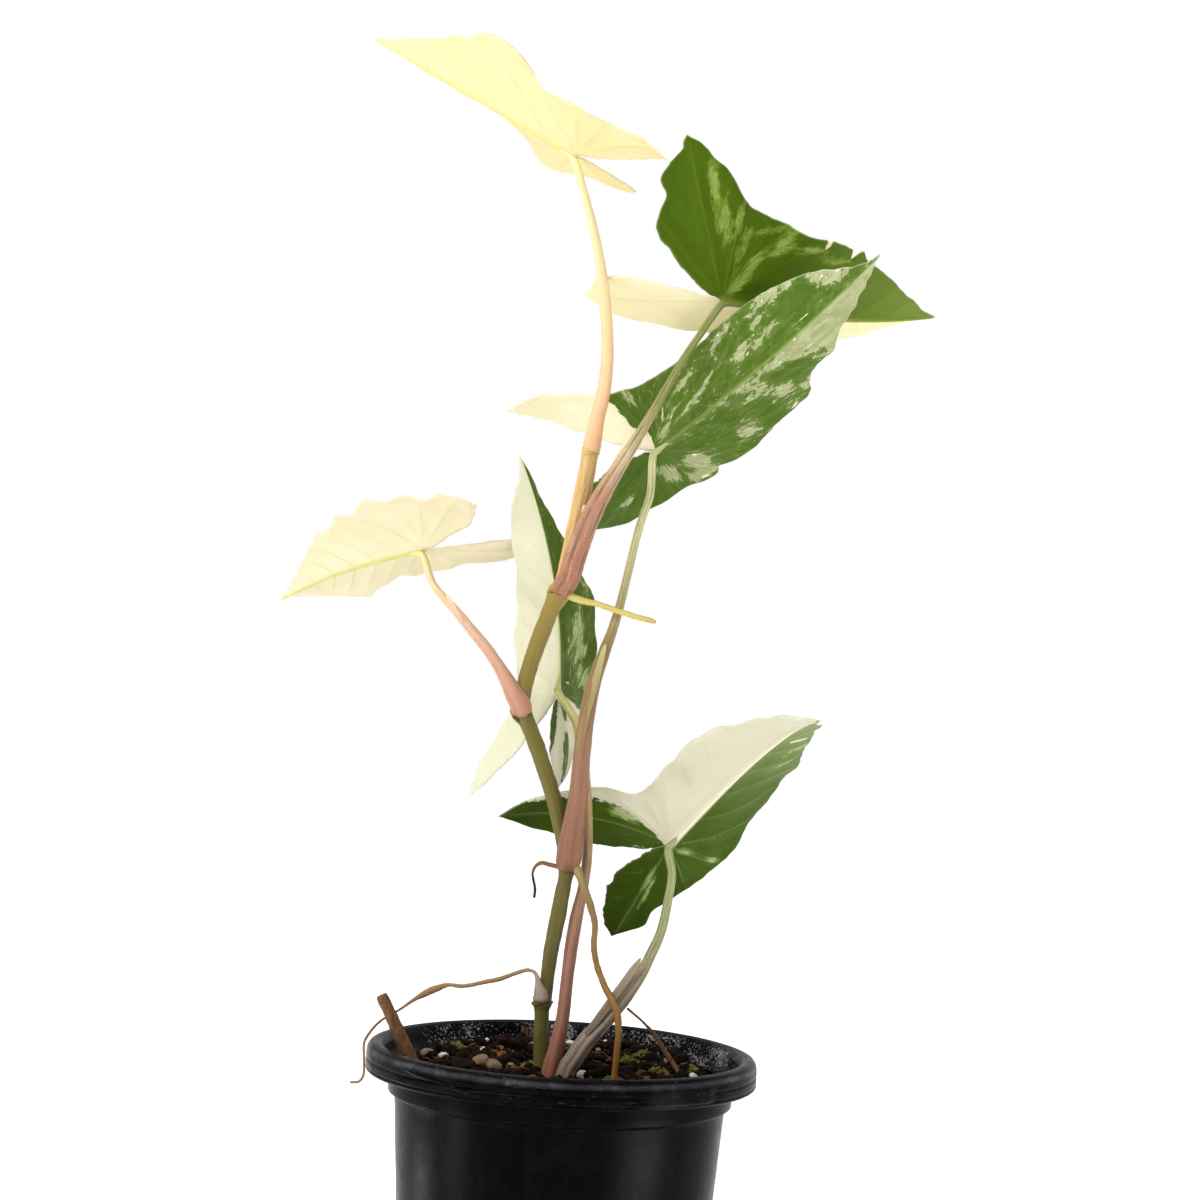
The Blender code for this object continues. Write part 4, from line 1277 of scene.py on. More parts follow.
BLADES = (
    Blade(
        "A", (-9.7, -8.2, 332), 185, 24, 8, 65, -17, 12, -12, 10,
        left=Half(
            (2.5, 8, 17, 23.5, 17, 19.5), 28, 24, -18, 38, 128, 7, -26, 0.9, 2.5, 0.6,
            nicks=((0.36, 1.6, 0.03), (0.52, -0.8, 0.04)),
        ),
        right=Half((2.5, 7.5, 13.5, 17.5, 22, 20.5), 31, 14, -17, 27, 133, 8.5, 26, 0.9, 2, 2, ragged=0.8),
        finish=LEAF_A,
    ),
    Blade(
        "B", (31.4, -18.9, 292.1), 16, -8, -37, 73, -46, 14, 7, 4,
        left=Half(
            (2, 7, 12.5, 16.5, 17.5, 19.5), 24, 36, -24, 41, 141, 12.5, 32, 0.8, 2.5, 0,
            lobe_nicks=((0.55, 2.2, 0.2), (0.8, 0.8, 0.05), (0.15, -0.8, 0.05)),
        ),
        right=Half(
            (2, 8, 15.5, 21, 22, 25), 24, 30, -1, 45, 120, 13.5, 0, 1, 3, 1.5,
            green=1, grey=-0.8, lobe_green=1, lobe_grey=-0.9,
            patches=patches(
                (GREY, -11.5, 28, 10, 1.8, 113, 0.22), (GREY, -5.5, 20, 7, 1.6, 106, 0.3),
                (GREY, -2, 22, 6, 1.2, 96, 0.2), (GREY, 5, 10.5, 6, 1.4, 62, 0.25),
                (GREY, 3, 5, 5, 1.6, 60, 0.22), (GREY, 12, 17.5, 5, 1.6, 50, 0.3),
                (GREY, 9, 21, 8, 1.4, 20, 0.06), (GREY, 20, 18.5, 7, 1.4, 10, 0.06),
                (GREY, 1, 14, 8, 1.4, 85, 0.08), (GREY, 28, 16.5, 7, 1.4, 0, 0.1),
                (CLEAR, -16, 20, 16, 4, 128), (CREAM, 25, 21.2, 2.4, 0.7, 70),
            ),
            nicks=((0.405, -2.6, 0.01), (0.385, 1.2, 0.014), (0.62, 0.7, 0.04), (0.9, -1, 0.03)),
            lobe_nicks=((0.5, 1.8, 0.08), (0.66, -1.4, 0.05), (0.77, 1, 0.05), (0.9, -1.6, 0.04)),
        ),
        finish=LEAF_B,
    ),
    Blade(
        "C", (16.8, 2, 253.4), -41, 30, -58, 90, 9, 3, -7, 6,
        left=Half(
            (2.5, 7, 11.5, 18.5, 19.5, 20.5), 33, 34, 8, 38, 163, 12, 9, 0.9, 3, 0.4,
            green=0.9, grey=-0.4, lobe_green=1, lobe_grey=-0.62, ragged=1.1,
            patches=patches(
                (GREY, 72, 5.5, 24, 13, 0, 0.9), (GREY, 52, 17, 9, 4, 20, 0.5),
                (GREY, 51, 3.2, 14, 2.8, 2, 0.8), (CLEAR, 43, 8, 9, 4.5, 10),
                (GREY, 33, 0.8, 22, 1.2, 0, 0.05), (GREY, 34.5, 5.8, 4.5, 2.4), (GREY, 38.8, 10.8, 4, 2.8),
                (GREY, 20.5, 14.3, 3.6, 2.6, 20), (GREY, 4.2, 10.8, 3.4, 2.4, 20, 0.7),
                (GREY, 1.2, 16.4, 4.2, 2.2, 10, 0.7), (GREY, -4.5, 9, 4.4, 2.2, 100, 0.6),
                (CREAM, 34.5, 18.6, 3.5, 0.8, -8, 0.2), (CREAM, 1, 17.8, 2.5, 0.8, 10, 0.2),
                (CREAM, 5.5, 9, 1.6, 1.2, 0, 0.2), (GREY, -20, 7.5, 4, 1.6, 160),
            ),
            nicks=(
                (0.2, -1, 0.03), (0.27, 1, 0.03), (0.36, -1, 0.025), (0.42, 1, 0.03), (0.5, -1.2, 0.02),
                (0.57, 1.2, 0.03), (0.66, -2, 0.015), (0.7, 0.8, 0.02),
            ),
        ),
        right=Half(
            (2, 9.5, 14.5, 15.5, 16, 18.5), 25, 25, -29, 48.5, 119, 7, -15, 0.5, 3, 2.2,
            green=0.8, grey=-0.36, lobe_green=-1, lobe_grey=-0.8, ragged=0.6,
            patches=patches(
                (GREEN, 4, 15, 11, 7, 75), (GREEN, -3, 24.5, 9, 1.3, 105), (GREY, 18.8, 10.4, 5, 0.8, 14),
                (GREY, 23.7, 6.4, 5, 0.7, 14), (GREY, 16.7, 4.4, 4.5, 0.9, 14),
                (GREY, 37.3, 13.5, 6.5, 1.1, 10), (GREY, 38.5, 6.6, 4, 1.7, 10),
                (CREAM, 40, 5.2, 1.8, 0.45, 12, 0.15), (GREY, 50, 6.8, 6, 1.5, 8),
                (GREY, 48.5, 9.8, 3, 0.8, 8), (GREY, 54, 13.2, 7, 1.4, 4), (GREY, 61, 11.6, 4, 0.9, 0),
                (GREY, 73, 7, 9, 3, -12, 0.5), (CREAM, 74, 10.2, 14, 1.3, -21),
                (CREAM, 7.5, 7.5, 4, 0.5, 45, 0.15), (CREAM, 9, 5, 3, 0.4, 30, 0.15),
                (GREY, 6, 4, 4.5, 1.6, 35), (GREY, 2, 17, 4, 2, 100), (CLEAR, 62, 7, 6, 2.4, 0),
                (CREAM, 60, 2.2, 9, 0.3, -1, 0.15),
            ),
        ),
        finish=LEAF_C, slot="leaf_green", rib=0.7, rib_colour=0.5,
    ),
    Blade(
        "D", (-47.5, 19.9, 223.9), 158, -10, 34, 52, 6, -2, -19, 5,
        left=Half(
            (1.5, 5.5, 11.5, 14, 17.5, 18.5), 42, 35, -36, 37.5, 138, 7, -55, 0.6, 2.5, 0,
            nicks=(
                (0.3, 0.9, 0.02), (0.4, 1.7, 0.025), (0.455, -1.7, 0.022), (0.53, 1, 0.03),
                (0.6, -0.5, 0.015), (0.67, 0.9, 0.03), (0.88, -1, 0.03),
            ),
            lobe_nicks=((0.45, 1.4, 0.12), (0.75, -0.9, 0.05), (0.9, 1, 0.04)),
        ),
        right=Half(
            (1.5, 5, 9.5, 10.5, 11.5, 15.5), 8, 37, -25, 32.5, 137, 8, 44, 0.6, 2.5, 1.2,
            nicks=((0.36, 1.6, 0.03), (0.52, -0.7, 0.05)),
        ),
        finish=LEAF_D, rib_colour=0.9,
    ),
    Blade(
        "E", (-6.8, 11.9, 185.5), -89, 108, -7, 70, 24, 5, -23, 15,
        left=Half(
            (2, 4, 10, 16.5, 18, 17), 43, 68, 4, 27, 157, 10, 24, 0.7, 2.5, 0.8,
            green=1, grey=-0.46, lobe_green=-0.7, lobe_grey=-0.3, ragged=0.9,
            patches=patches(
                (GREY, 20, 8.5, 6, 2.6, 10), (GREY, 12, 12, 6, 5), (GREY, 7, 16, 4, 3),
                (CLEAR, 14, 15.5, 4, 1.6, 40), (GREY, 40, 12, 9, 1.2, -8), (CREAM, 4, 4, 2, 0.8, 60, 0.2),
                (GREEN, -9, -3.6, 10, 2.2, 172), (GREEN, -16, 8, 6.5, 1.8, 158), (GREEN, -4, 3, 3, 1, 140),
            ),
        ),
        right=Half((2, 8, 11.5, 13.5, 15, 14.5), 32, 21, 16, 42, 125, 6, 0, 0.7, 2.5, 2.4),
        finish=LEAF_E, rib_colour=0.6,
    ),
    Blade(
        "F", (26.2, 6.3, 145.6), -44, 43, -44, 81, 33, 16, -5, 9,
        left=Half(
            (2.5, 7, 11.5, 17, 17, 17), 26, 10, 16, 38.5, 170, 10.5, 2, 0.8, 2.5, 0,
            green=1, grey=-0.66, lobe_green=1, lobe_grey=-0.72, ragged=0.9,
            patches=patches(
                (CREAM, 56.5, 5, 3, 0.9, 45), (GREY, 50, 8, 9, 1, 10), (GREY, 42, 9.5, 5, 0.9, 20),
                (GREY, 0.2, 4.4, 3, 1.2, 70), (GREY, 1.5, 13.5, 2.4, 1.2, 80), (GREY, -18, 5, 7, 0.8, 168),
                (GREY, -13, 2, 5, 0.8, 170), (GREEN, 30, 1, 30, 2),
            ),
            nicks=((0.1, -1.4, 0.012), (0.14, 0.8, 0.015), (0.93, 1.6, 0.03), (0.86, -1.2, 0.03)),
        ),
        right=Half(
            (2.5, 7, 12, 16, 15.5, 16), 16, 37, -25, 51, 118, 10, -2, 0.6, 3, 1, ragged=0.6,
            patches=patches(
                (GREEN, -24, 34, 20, 9.5, 118), (GREEN, -13, 21, 16, 7.5, 120), (GREEN, -4.5, 6, 6, 2, 112),
                (GREY, -4, 15, 5.5, 2.2, 112, 0.5),
            ),
        ),
        finish=LEAF_F, slot="leaf_green", rib_colour=1,
    ),
)


# Shares of a rounded end where further rings of a tube stand
END_RINGS = np.array([0.15, 0.4, 0.75])


@dataclass(frozen=True)
class Tube:
    """A round piece along a route, ribbed and wrinkled, with rounded ends."""

    route: Route
    sides: int = 20
    step: float = 0.7
    ridges: int = 5
    ridge: float = 0.03
    wrinkle: float = 0.04
    wrinkle_size: float = 2.5
    oval: float = 0.0
    blunt: float = 0.8
    seed: float = 0.0

    def line(self) -> Array:
        """Places and radii along the route."""
        length = np.linalg.norm(np.diff(np.array(self.route)[:, :3], axis=0), axis=1).sum()
        return smooth_line(self.route, max(int(length / self.step), 12))

    def shell(self) -> Shell:
        """The tube's shell, with how far along and round it each point lies.

        Returns:
            The shell.
        """
        line = self.line()
        centre, radius = line[:, :3], np.maximum(line[:, 3], 0.05)
        centre, radius, along = self.round_ends(centre, radius, distances(centre))
        ahead = np.gradient(centre, axis=0)
        ahead /= np.linalg.norm(ahead, axis=1)[:, None] + 1e-12
        side = np.zeros_like(ahead)
        side[0] = np.cross(ahead[0], (0.3, 1.0, 0.2))
        for i in range(len(ahead)):
            kept = side[max(i - 1, 0)]
            kept = kept - ahead[i] * kept.dot(ahead[i])
            side[i] = kept / np.linalg.norm(kept)
        other = np.cross(ahead, side)
        turn = circle(self.sides)
        wide = (1.0 + self.oval) * np.cos(turn)[None, :, None] * side[:, None]
        deep = (1.0 - self.oval) * np.sin(turn)[None, :, None] * other[:, None]
        ribs = np.cos(self.ridges * turn + self.seed)[None]
        ribbed = 1.0 + self.ridge * ribs * np.ones((len(along), 1))
        points = centre[:, None] + (wide + deep) * (radius[:, None] * ribbed)[..., None]
        rough = lumps(points.reshape(-1, 3) * (1.0, 1.0, 0.6), self.wrinkle_size, 3, self.seed)
        swell = 1.0 + self.wrinkle * rough.reshape(len(along), self.sides)
        points = centre[:, None] + (points - centre[:, None]) * swell[..., None]
        share = np.clip(along / along[-1], 0.0, 1.0)
        round_share = np.linspace(0.0, 1.0, self.sides, endpoint=False)
        grid = np.stack(np.broadcast_arrays(along[:, None], round_share[None], share[:, None]), -1)
        faces = grid_faces(len(along), self.sides, closed=True)
        faces.append(tuple(range(self.sides))[::-1])
        last = (len(along) - 1) * self.sides
        faces.append(tuple(range(last, last + self.sides)))
        return Shell(points.reshape(-1, 3), faces, {"along": grid.reshape(-1, 3)})

    def round_ends(self, centre: Array, radius: Array, along: Array) -> tuple:
        """Draws the ends in to a dome.

        Args:
            centre: places along the route.
            radius: radii there.
            along: distances there.

        Returns:
            The three, with rings added at the ends.
        """
        end = along[-1]
        reach = radius * self.blunt
        foot = END_RINGS * reach[0]
        head = end - END_RINGS[::-1] * reach[-1]
        stops = np.unique(np.clip(np.concatenate([[0.0], foot, along[1:-1], head, [end]]), 0.0, end))
        places = np.stack([np.interp(stops, along, centre[:, i]) for i in range(3)], 1)
        wide = np.interp(stops, along, radius)
        near = np.minimum(stops, end - stops) / (wide * self.blunt)
        dome = np.sqrt(np.clip(1.0 - (1.0 - np.clip(near, 0.0, 1.0)) ** 2, 0.01, 1.0))
        return places, wide * dome, stops


@dataclass(frozen=True)
class TubePiece:
    """A tube with its finish, slot and the node that it stands for."""

    name: str
    tube: Tube
    finish: Finish
    slot: str
    stands_for: tuple = ()

    def build(self) -> Object:
        """Makes the piece."""
        return dress(self.name, self.tube.shell(), self.finish, self.stands_for)


# Routes of the round pieces, as in the part's own source: x, y, z and radius at each point
STEM_FOOT = 60.0
STEM = (
    (-5, 0, STEM_FOOT, 2), (-5.5, 0, 82, 2), (-6, 0, 93, 2.05), (-6.2, 0, 99.8, 2.1), (-6.2, 0, 101.2, 2.6),
    (-6, 0, 102.6, 2.3), (-5.4, 0, 106.3, 1.9), (-4.6, 0, 115.8, 2.05), (-3.6, 0, 122.5, 2.15),
    (-2.5, 0, 130.7, 2.05), (-1.7, 0, 136.5, 2.1), (-1.4, 0, 138.6, 3), (-1.8, 0, 140.7, 2.3),
    (-3.7, 0, 148.2, 2.05), (-6.1, 0, 156.2, 2.1), (-8.7, 0, 163.1, 2.1), (-11.8, 0, 170.8, 2.2),
    (-14.6, 0, 176.8, 2.2), (-16.3, 0, 179.8, 2.9), (-16.4, 0, 182, 2.3), (-15.6, 0, 188.3, 2.2),
    (-12.7, 0, 199.4, 2.3), (-9.6, -1, 208.6, 2.4), (-7.9, -1.5, 212.7, 3.2), (-7, -1.8, 215.2, 2.45),
    (-5.9, -2.2, 221.6, 2.3), (-4.1, -3, 232.6, 2.3), (-2.5, -3.8, 243.5, 2.3), (-1.6, -4.3, 250.4, 2.3),
    (-1.3, -4.5, 252.6, 2.6),
)
PETIOLES = {
    "A": (
        (-1.3, -4.5, 250.9, 2.3), (-1.1, -4.6, 253.1, 2.45), (-0.6, -5.4, 257.1, 2.2), (0, -7, 261.1, 2.05),
        (1.1, -9, 266.3, 1.9), (1.7, -12.5, 274.7, 1.7), (1.2, -15, 283, 1.6), (-0.2, -16.5, 293.4, 1.45),
        (-2.4, -16.5, 304.2, 1.25), (-5.1, -14.5, 314, 1.15), (-7.4, -12, 321.4, 1.1),
    ),
    "B": (
        (-7.6, -2.2, 212.6, 2.9), (-6.6, -3.2, 214.6, 3.05), (-5.4, -4.2, 216.9, 3), (-4.1, -5, 222.3, 3),
        (-2.2, -6, 228.8, 2.85), (-0.1, -7, 234.3, 2.7), (3, -9, 240.8, 2.3), (7, -11, 247.8, 1.9),
        (10.9, -13, 254.6, 1.5), (15.2, -15.5, 262.6, 1.2), (18.3, -17.5, 268.6, 1.05),
        (21.8, -19.5, 275.2, 1), (25.7, -21.2, 281.6, 0.95),
    ),
    "C": (
        (-1.4, -0.6, 138.4, 2.95), (-1.2, -1.6, 140, 3.3), (-1, -2.3, 141.8, 3.4),
        (-0.7, -2.6, 145.8, 3.25), (-0.1, -2.8, 151.2, 2.95), (0.6, -2.5, 159.4, 2.55),
        (0.8, -1.5, 168.8, 2.3), (1.6, -0.5, 179.7, 2.1), (3, 0, 188.8, 1.9), (5.3, 0.3, 197.1, 1.6),
        (7.2, 0.5, 203.2, 1.35), (9.2, 0.8, 211.6, 1.15), (11, 1.2, 221.4, 1.1), (13.2, 1.3, 232.6, 1.05),
        (15.5, 1.2, 241, 1.05),
    ),
    "D": (
        (-16.3, -0.5, 179.6, 2.75), (-16.5, -1.5, 180.8, 2.85), (-17.1, -2, 182.2, 2.7),
        (-18.5, -2, 184.3, 2.45), (-20.4, -0.5, 187.5, 2.05), (-22.9, 1.5, 191.2, 1.65),
        (-26.7, 5, 196.1, 1.5), (-32.2, 9, 202, 1.4), (-36.9, 13, 207, 1.25), (-40.7, 15.5, 210.6, 1.1),
        (-44.2, 18, 214.8, 1),
    ),
    "E": (
        (-2.8, -4.3, STEM_FOOT, 2.3), (-2.8, -4.3, 83.9, 2.3), (-1.7, -4, 90, 2), (-0.5, -3, 97.1, 1.75),
        (0.2, -1, 107.8, 1.6), (0.8, 0.3, 116, 1.7), (1.7, 1.5, 124.1, 1.7), (3.1, 2.8, 132.7, 1.35),
        (3.8, 3.8, 140.3, 1.3), (3.6, 4.8, 148.4, 1.25), (2.8, 6, 157.8, 1.25), (1.5, 7.3, 166, 1.25),
        (0, 8.7, 172.2, 1.25), (-1.4, 9.8, 177.7, 1.2),
    ),
    "F": (
        (1.3, -7.4, STEM_FOOT, 2.3), (1.3, -7.4, 84.6, 2.3), (3.5, -7.6, 88.7, 2.35), (6.2, -7.3, 93, 2.25),
        (9.5, -6.5, 96.8, 2.15), (12.5, -5.5, 100.5, 2), (15.3, -4, 103.7, 1.8), (17.8, -3, 107.2, 1.6),
        (20.3, -1.5, 111.4, 1.5), (22.3, 0, 115.6, 1.35), (25, 2, 122.3, 1.2), (26.5, 4, 130.6, 1.1),
        (27.2, 5, 137.7, 1.05),
    ),
}
YELLOW_ROOT = (
    (-6, -2.6, 212.2, 1.1), (-2.1, -3, 210.8, 0.95), (2.6, -3.2, 210, 0.8), (7.6, -3, 208.6, 0.8),
    (13.7, -3.2, 207, 0.75), (17.2, -3.6, 206.3, 0.7), (18.9, -4, 205.8, 0.5),
)
BROWN_ROOT = (
    (0.4, -2.2, 139.2, 1.1), (1.5, -3.4, 137.6, 1.1), (3.1, -3.3, 133.9, 1.05), (5.3, -3, 128.7, 0.95),
    (6.9, -3, 123.4, 0.8), (6.9, -3.3, 118.1, 0.8), (8, -4.2, 112.9, 0.8), (10.2, -6.5, 108, 0.85),
    (12.5, -9, 104.4, 0.95), (14, -10.3, 101.3, 0.95), (14.6, -10.8, 96.9, 0.85), (14.5, -10.2, 91, 0.8),
    (14.2, -9.5, 84, 0.8), (14, -9, 76, 0.8),
)
THIN_ROOT = (
    (-3.6, -0.6, 138.2, 0.7), (-6.4, -1, 138.8, 0.6), (-8.6, -1.4, 139.1, 0.55), (-10, -1.6, 138.2, 0.45),
    (-10.7, -1.8, 136.3, 0.35), (-10.3, -1.8, 134.2, 0.35), (-9.8, -1.7, 132, 0.35),
    (-9.9, -1.5, 129.6, 0.35),
)
DRIED_STALK = (
    (-6.5, -1.7, 101.6, 2.6), (-6.6, -2, 104, 1.9), (-7.3, -2.3, 106.4, 1.1), (-7.8, -2.4, 108.4, 0.6),
    (-8.7, -2, 109.8, 0.45), (-10.5, -1.4, 110.2, 0.5), (-14.2, -0.6, 108.9, 0.55),
    (-17.9, 0.6, 107.2, 0.65), (-21.7, 1.6, 106.1, 0.6), (-28, 3, 104.4, 0.55), (-32.1, 4.5, 104.3, 0.55),
    (-35.1, 5, 103.2, 0.95), (-38.6, 5, 101.4, 0.9), (-41.4, 5, 99.6, 0.5), (-45, 4, 96.9, 0.35),
    (-47.7, 2, 95.4, 0.35), (-50, -1, 93.8, 0.35), (-51.6, -5, 91.9, 0.35), (-52.5, -10.5, 89.8, 0.35),
    (-52, -14, 87.2, 0.35), (-51.6, -15.8, 84.6, 0.35), (-51.6, -16.3, 82.3, 0.35),
    (-52.7, -16.4, 80.6, 0.35), (-55, -16.4, 80.3, 0.35),
)
CUT_STUMP = (
    (-49.4, -3, 101.6, 1.5), (-47.3, -2.6, 97.6, 1.6), (-44.6, -2.2, 92.4, 1.75), (-42.2, -2, 87.7, 1.9),
    (-39.2, -1, 81.3, 2), (-36, 0, 72, 2),
)
DRY_TWIG = (
    (17.1, 14, 99.5, 0.35), (21.7, 13, 96.1, 0.35), (25.2, 11.5, 92.7, 0.6), (28.4, 10, 88.4, 0.7),
    (31.6, 8, 84.3, 0.6), (34.5, 6, 78, 0.5),
)

STEM_SKIN = SkinFinish(
    "stem_skin", stops=(
        (0, (0.075, 0.066, 0.013)), (0.28, (0.085, 0.076, 0.014)), (0.42, (0.1, 0.086, 0.015)),
        (0.6, (0.115, 0.098, 0.017)), (0.66, (0.17, 0.135, 0.024)), (0.79, (0.24, 0.17, 0.035)),
        (0.82, (0.5, 0.32, 0.11)), (1, (0.55, 0.36, 0.14)),
    ),
    streak=(0.16, 0.075, 0.022), streaking=0.45, specks=0.12, lines=7, line=0.25, seed=1,
)
PETIOLE_SKINS = {
    "A": SkinFinish(
        "petiole_A_skin", stops=((0, (0.76, 0.45, 0.25)), (0.5, (0.8, 0.61, 0.33)), (1, (0.8, 0.77, 0.43))),
        streak=(0.72, 0.38, 0.24), streaking=0.4, specks=0.02, seed=1, through=0.15,
        behind=(0.85, 0.62, 0.34),
    ),
    "B": SkinFinish(
        "petiole_B_skin", stops=(
            (0, (0.25, 0.11, 0.055)), (0.06, (0.31, 0.12, 0.08)), (0.3, (0.36, 0.18, 0.115)),
            (0.44, (0.46, 0.36, 0.21)), (0.56, (0.24, 0.22, 0.08)), (0.7, (0.17, 0.19, 0.045)),
            (1, (0.19, 0.24, 0.05)),
        ),
        streak=(0.46, 0.34, 0.21), streaking=0.55, speck=(0.11, 0.085, 0.03), lines=5, line=0.9, seed=2,
    ),
    "C": SkinFinish(
        "petiole_C_skin", stops=(
            (0, (0.19, 0.08, 0.045)), (0.2, (0.25, 0.125, 0.075)), (0.5, (0.235, 0.15, 0.062)),
            (0.75, (0.5, 0.49, 0.25)), (0.92, (0.57, 0.58, 0.3)),
            (1, (0.36, 0.42, 0.12)),
        ),
        streak=(0.2, 0.085, 0.045), streaking=0.6, lines=6, line=0.5, seed=3,
    ),
    "D": SkinFinish(
        "petiole_D_skin", stops=(
            (0, (0.34, 0.17, 0.1)), (0.08, (0.42, 0.21, 0.14)), (0.3, (0.5, 0.28, 0.185)),
            (0.6, (0.6, 0.41, 0.26)), (0.85, (0.64, 0.56, 0.29)), (1, (0.55, 0.57, 0.19)),
        ),
        streak=(0.36, 0.16, 0.11), streaking=0.5, specks=0.08, lines=4, line=0.25, seed=4,
    ),
    "E": SkinFinish(
        "petiole_E_skin", stops=(
            (0, (0.13, 0.045, 0.025)), (0.15, (0.2, 0.075, 0.045)), (0.4, (0.3, 0.135, 0.095)),
            (0.6, (0.32, 0.2, 0.11)), (0.78, (0.42, 0.36, 0.15)), (1, (0.5, 0.52, 0.19)),
        ),
        streak=(0.16, 0.05, 0.025), streaking=0.6, lines=4, line=0.5, seed=5,
    ),
    "F": SkinFinish(
        "petiole_F_skin", stops=(
            (0, (0.15, 0.1, 0.075)), (0.35, (0.24, 0.18, 0.145)), (0.58, (0.24, 0.21, 0.13)),
            (0.72, (0.25, 0.28, 0.13)), (1, (0.3, 0.37, 0.16)),
        ),
        streak=(0.16, 0.09, 0.05), streaking=0.6, lines=6, line=0.85, seed=6,
    ),
}
YELLOW_SKIN = SkinFinish(
    "yellow_root_skin", stops=((0, (0.5, 0.42, 0.12)), (0.8, (0.54, 0.44, 0.13)), (1, (0.46, 0.34, 0.12))),
    streak=(0.44, 0.3, 0.09), specks=0.06, seed=7, gloss=0.6,
)
BROWN_SKIN = SkinFinish(
    "brown_root_skin", stops=(
        (0, (0.26, 0.21, 0.08)), (0.2, (0.2, 0.13, 0.045)), (0.7, (0.24, 0.11, 0.022)), (1, (0.18, 0.07, 0.015)),
    ),
    streak=(0.1, 0.05, 0.02), streaking=0.5, specks=0.14, seed=8, gloss=0.45,
)
THREAD_SKIN = SkinFinish(
    "thin_root_skin", stops=(
        (0, (0.22, 0.12, 0.05)), (0.45, (0.16, 0.09, 0.04)), (0.62, (0.015, 0.01, 0.008)),
        (1, (0.01, 0.007, 0.006)),
    ),
    streak=(0.05, 0.03, 0.02), specks=0.06, seed=8.5, gloss=0.7,
)
SHEATH_SKINS = {
    "C": SkinFinish(
        "sheath_tip_C", stops=((0, (0.48, 0.5, 0.24)), (0.3, (0.36, 0.3, 0.13)), (1, (0.26, 0.15, 0.07))),
        streak=(0.34, 0.34, 0.12), streaking=0.7, specks=0.02, lines=9, line=0.4, seed=11, through=0.2,
        behind=(0.7, 0.7, 0.35),
    ),
    "B": SkinFinish(
        "sheath_tip_B", stops=((0, (0.86, 0.8, 0.52)), (0.5, (0.78, 0.62, 0.4)), (1, (0.52, 0.28, 0.17))),
        streak=(0.6, 0.34, 0.2), streaking=0.5, specks=0.02, seed=12, through=0.2, behind=(0.86, 0.7, 0.42),
    ),
    "D": SkinFinish(
        "sheath_tip_D", stops=((0, (0.66, 0.52, 0.36)), (0.5, (0.6, 0.42, 0.27)), (1, (0.55, 0.36, 0.23))),
        streak=(0.4, 0.2, 0.13), streaking=0.5, specks=0.05, seed=13,
    ),
    "F": SkinFinish(
        "sheath_tip_F", stops=((0, (0.28, 0.27, 0.15)), (0.3, (0.24, 0.19, 0.14)), (1, (0.17, 0.12, 0.09))),
        streak=(0.14, 0.09, 0.05), streaking=0.7, specks=0.05, lines=5, line=0.6, seed=14,
    ),
}
SCAR_SKIN = SkinFinish(
    "leaf_scar", stops=((0, (0.075, 0.07, 0.016)), (0.5, (0.1, 0.075, 0.02)), (1, (0.075, 0.07, 0.016))),
    streak=(0.2, 0.11, 0.04), streaking=0.5, specks=0.2, seed=15, gloss=0.6,
)
JOINT_SKIN = SkinFinish(
    "stalk_joint", stops=((0, (0.42, 0.32, 0.08)), (0.5, (0.5, 0.34, 0.11)), (1, (0.42, 0.32, 0.08))),
    streak=(0.34, 0.3, 0.07), streaking=0.6, specks=0.1, seed=16, gloss=0.55,
)
PAPER = SkinFinish(
    "dry_sheath", stops=(
        (0, (0.24, 0.17, 0.13)), (0.07, (0.32, 0.25, 0.2)), (0.16, (0.28, 0.17, 0.08)), (1, (0.24, 0.14, 0.06)),
    ),
    streak=(0.14, 0.08, 0.045), streaking=0.6, specks=0.12, seed=9, gloss=0.8, specular=0.2,
)
DEAD_WOOD = GrainFinish(
    "dead_wood", dark=(0.085, 0.042, 0.021), light=(0.2, 0.105, 0.048), speck=(0.27, 0.17, 0.09),
    broad=0.5, fine=1.6, specks=0.06, pits=0.3, stretch=(1, 1, 0.3),
)


# Free tips and edges of the sheaths: the flat side faces forward
SHEATHS = {
    "C": (
        (5.6, -2.3, 199.2, 0.15), (5.2, -2.2, 197.6, 0.36), (4.3, -2, 193.5, 0.52), (3, -2.1, 186.7, 0.62),
        (1.4, -2.4, 179.8, 0.62), (0.3, -3, 173.5, 0.6), (-0.3, -3.4, 167.5, 0.4),
    ),
    "B": (
        (9.6, -9.7, 255.8, 0.15), (9, -9.6, 254.4, 0.5), (7.8, -9.5, 251.9, 0.8), (6, -9.3, 246.6, 0.95),
        (3.8, -8.3, 240.5, 0.9), (1.6, -7, 234.5, 0.7),
    ),
    "B2": (
        (-2.4, -6.5, 236.4, 0.12), (-2.2, -6.6, 235, 0.5), (-2.1, -6.8, 232.4, 0.7),
        (-2.4, -6.9, 228.7, 0.6), (-3.6, -6.4, 223, 0.4),
    ),
    "D": (
        (-39.6, 13.9, 211.3, 0.12), (-39, 13.4, 210.2, 0.34), (-37.9, 12.6, 208.6, 0.42),
        (-36.2, 10.9, 206.2, 0.38), (-34, 8.6, 203.4, 0.2),
    ),
    "F": (
        (19.6, -5.9, 115.6, 0.12), (19, -5.7, 114.4, 0.34), (17.6, -5.4, 112.2, 0.5),
        (15.5, -5.8, 108.8, 0.58), (12.6, -7, 104.4, 0.62), (9.6, -8.4, 100, 0.6), (6, -9.2, 95, 0.4),
    ),
}
# Nodes of the stem: centre, radius of the ring, and its slope to the side
NODES = (
    (-6.2, 0, 101.5, 2.65, 0.1), (-1.4, 0, 138.2, 2.95, -0.2), (-16.3, 0, 179.5, 2.85, -0.25),
    (-7.9, -1.5, 212.1, 3.05, -0.15),
)
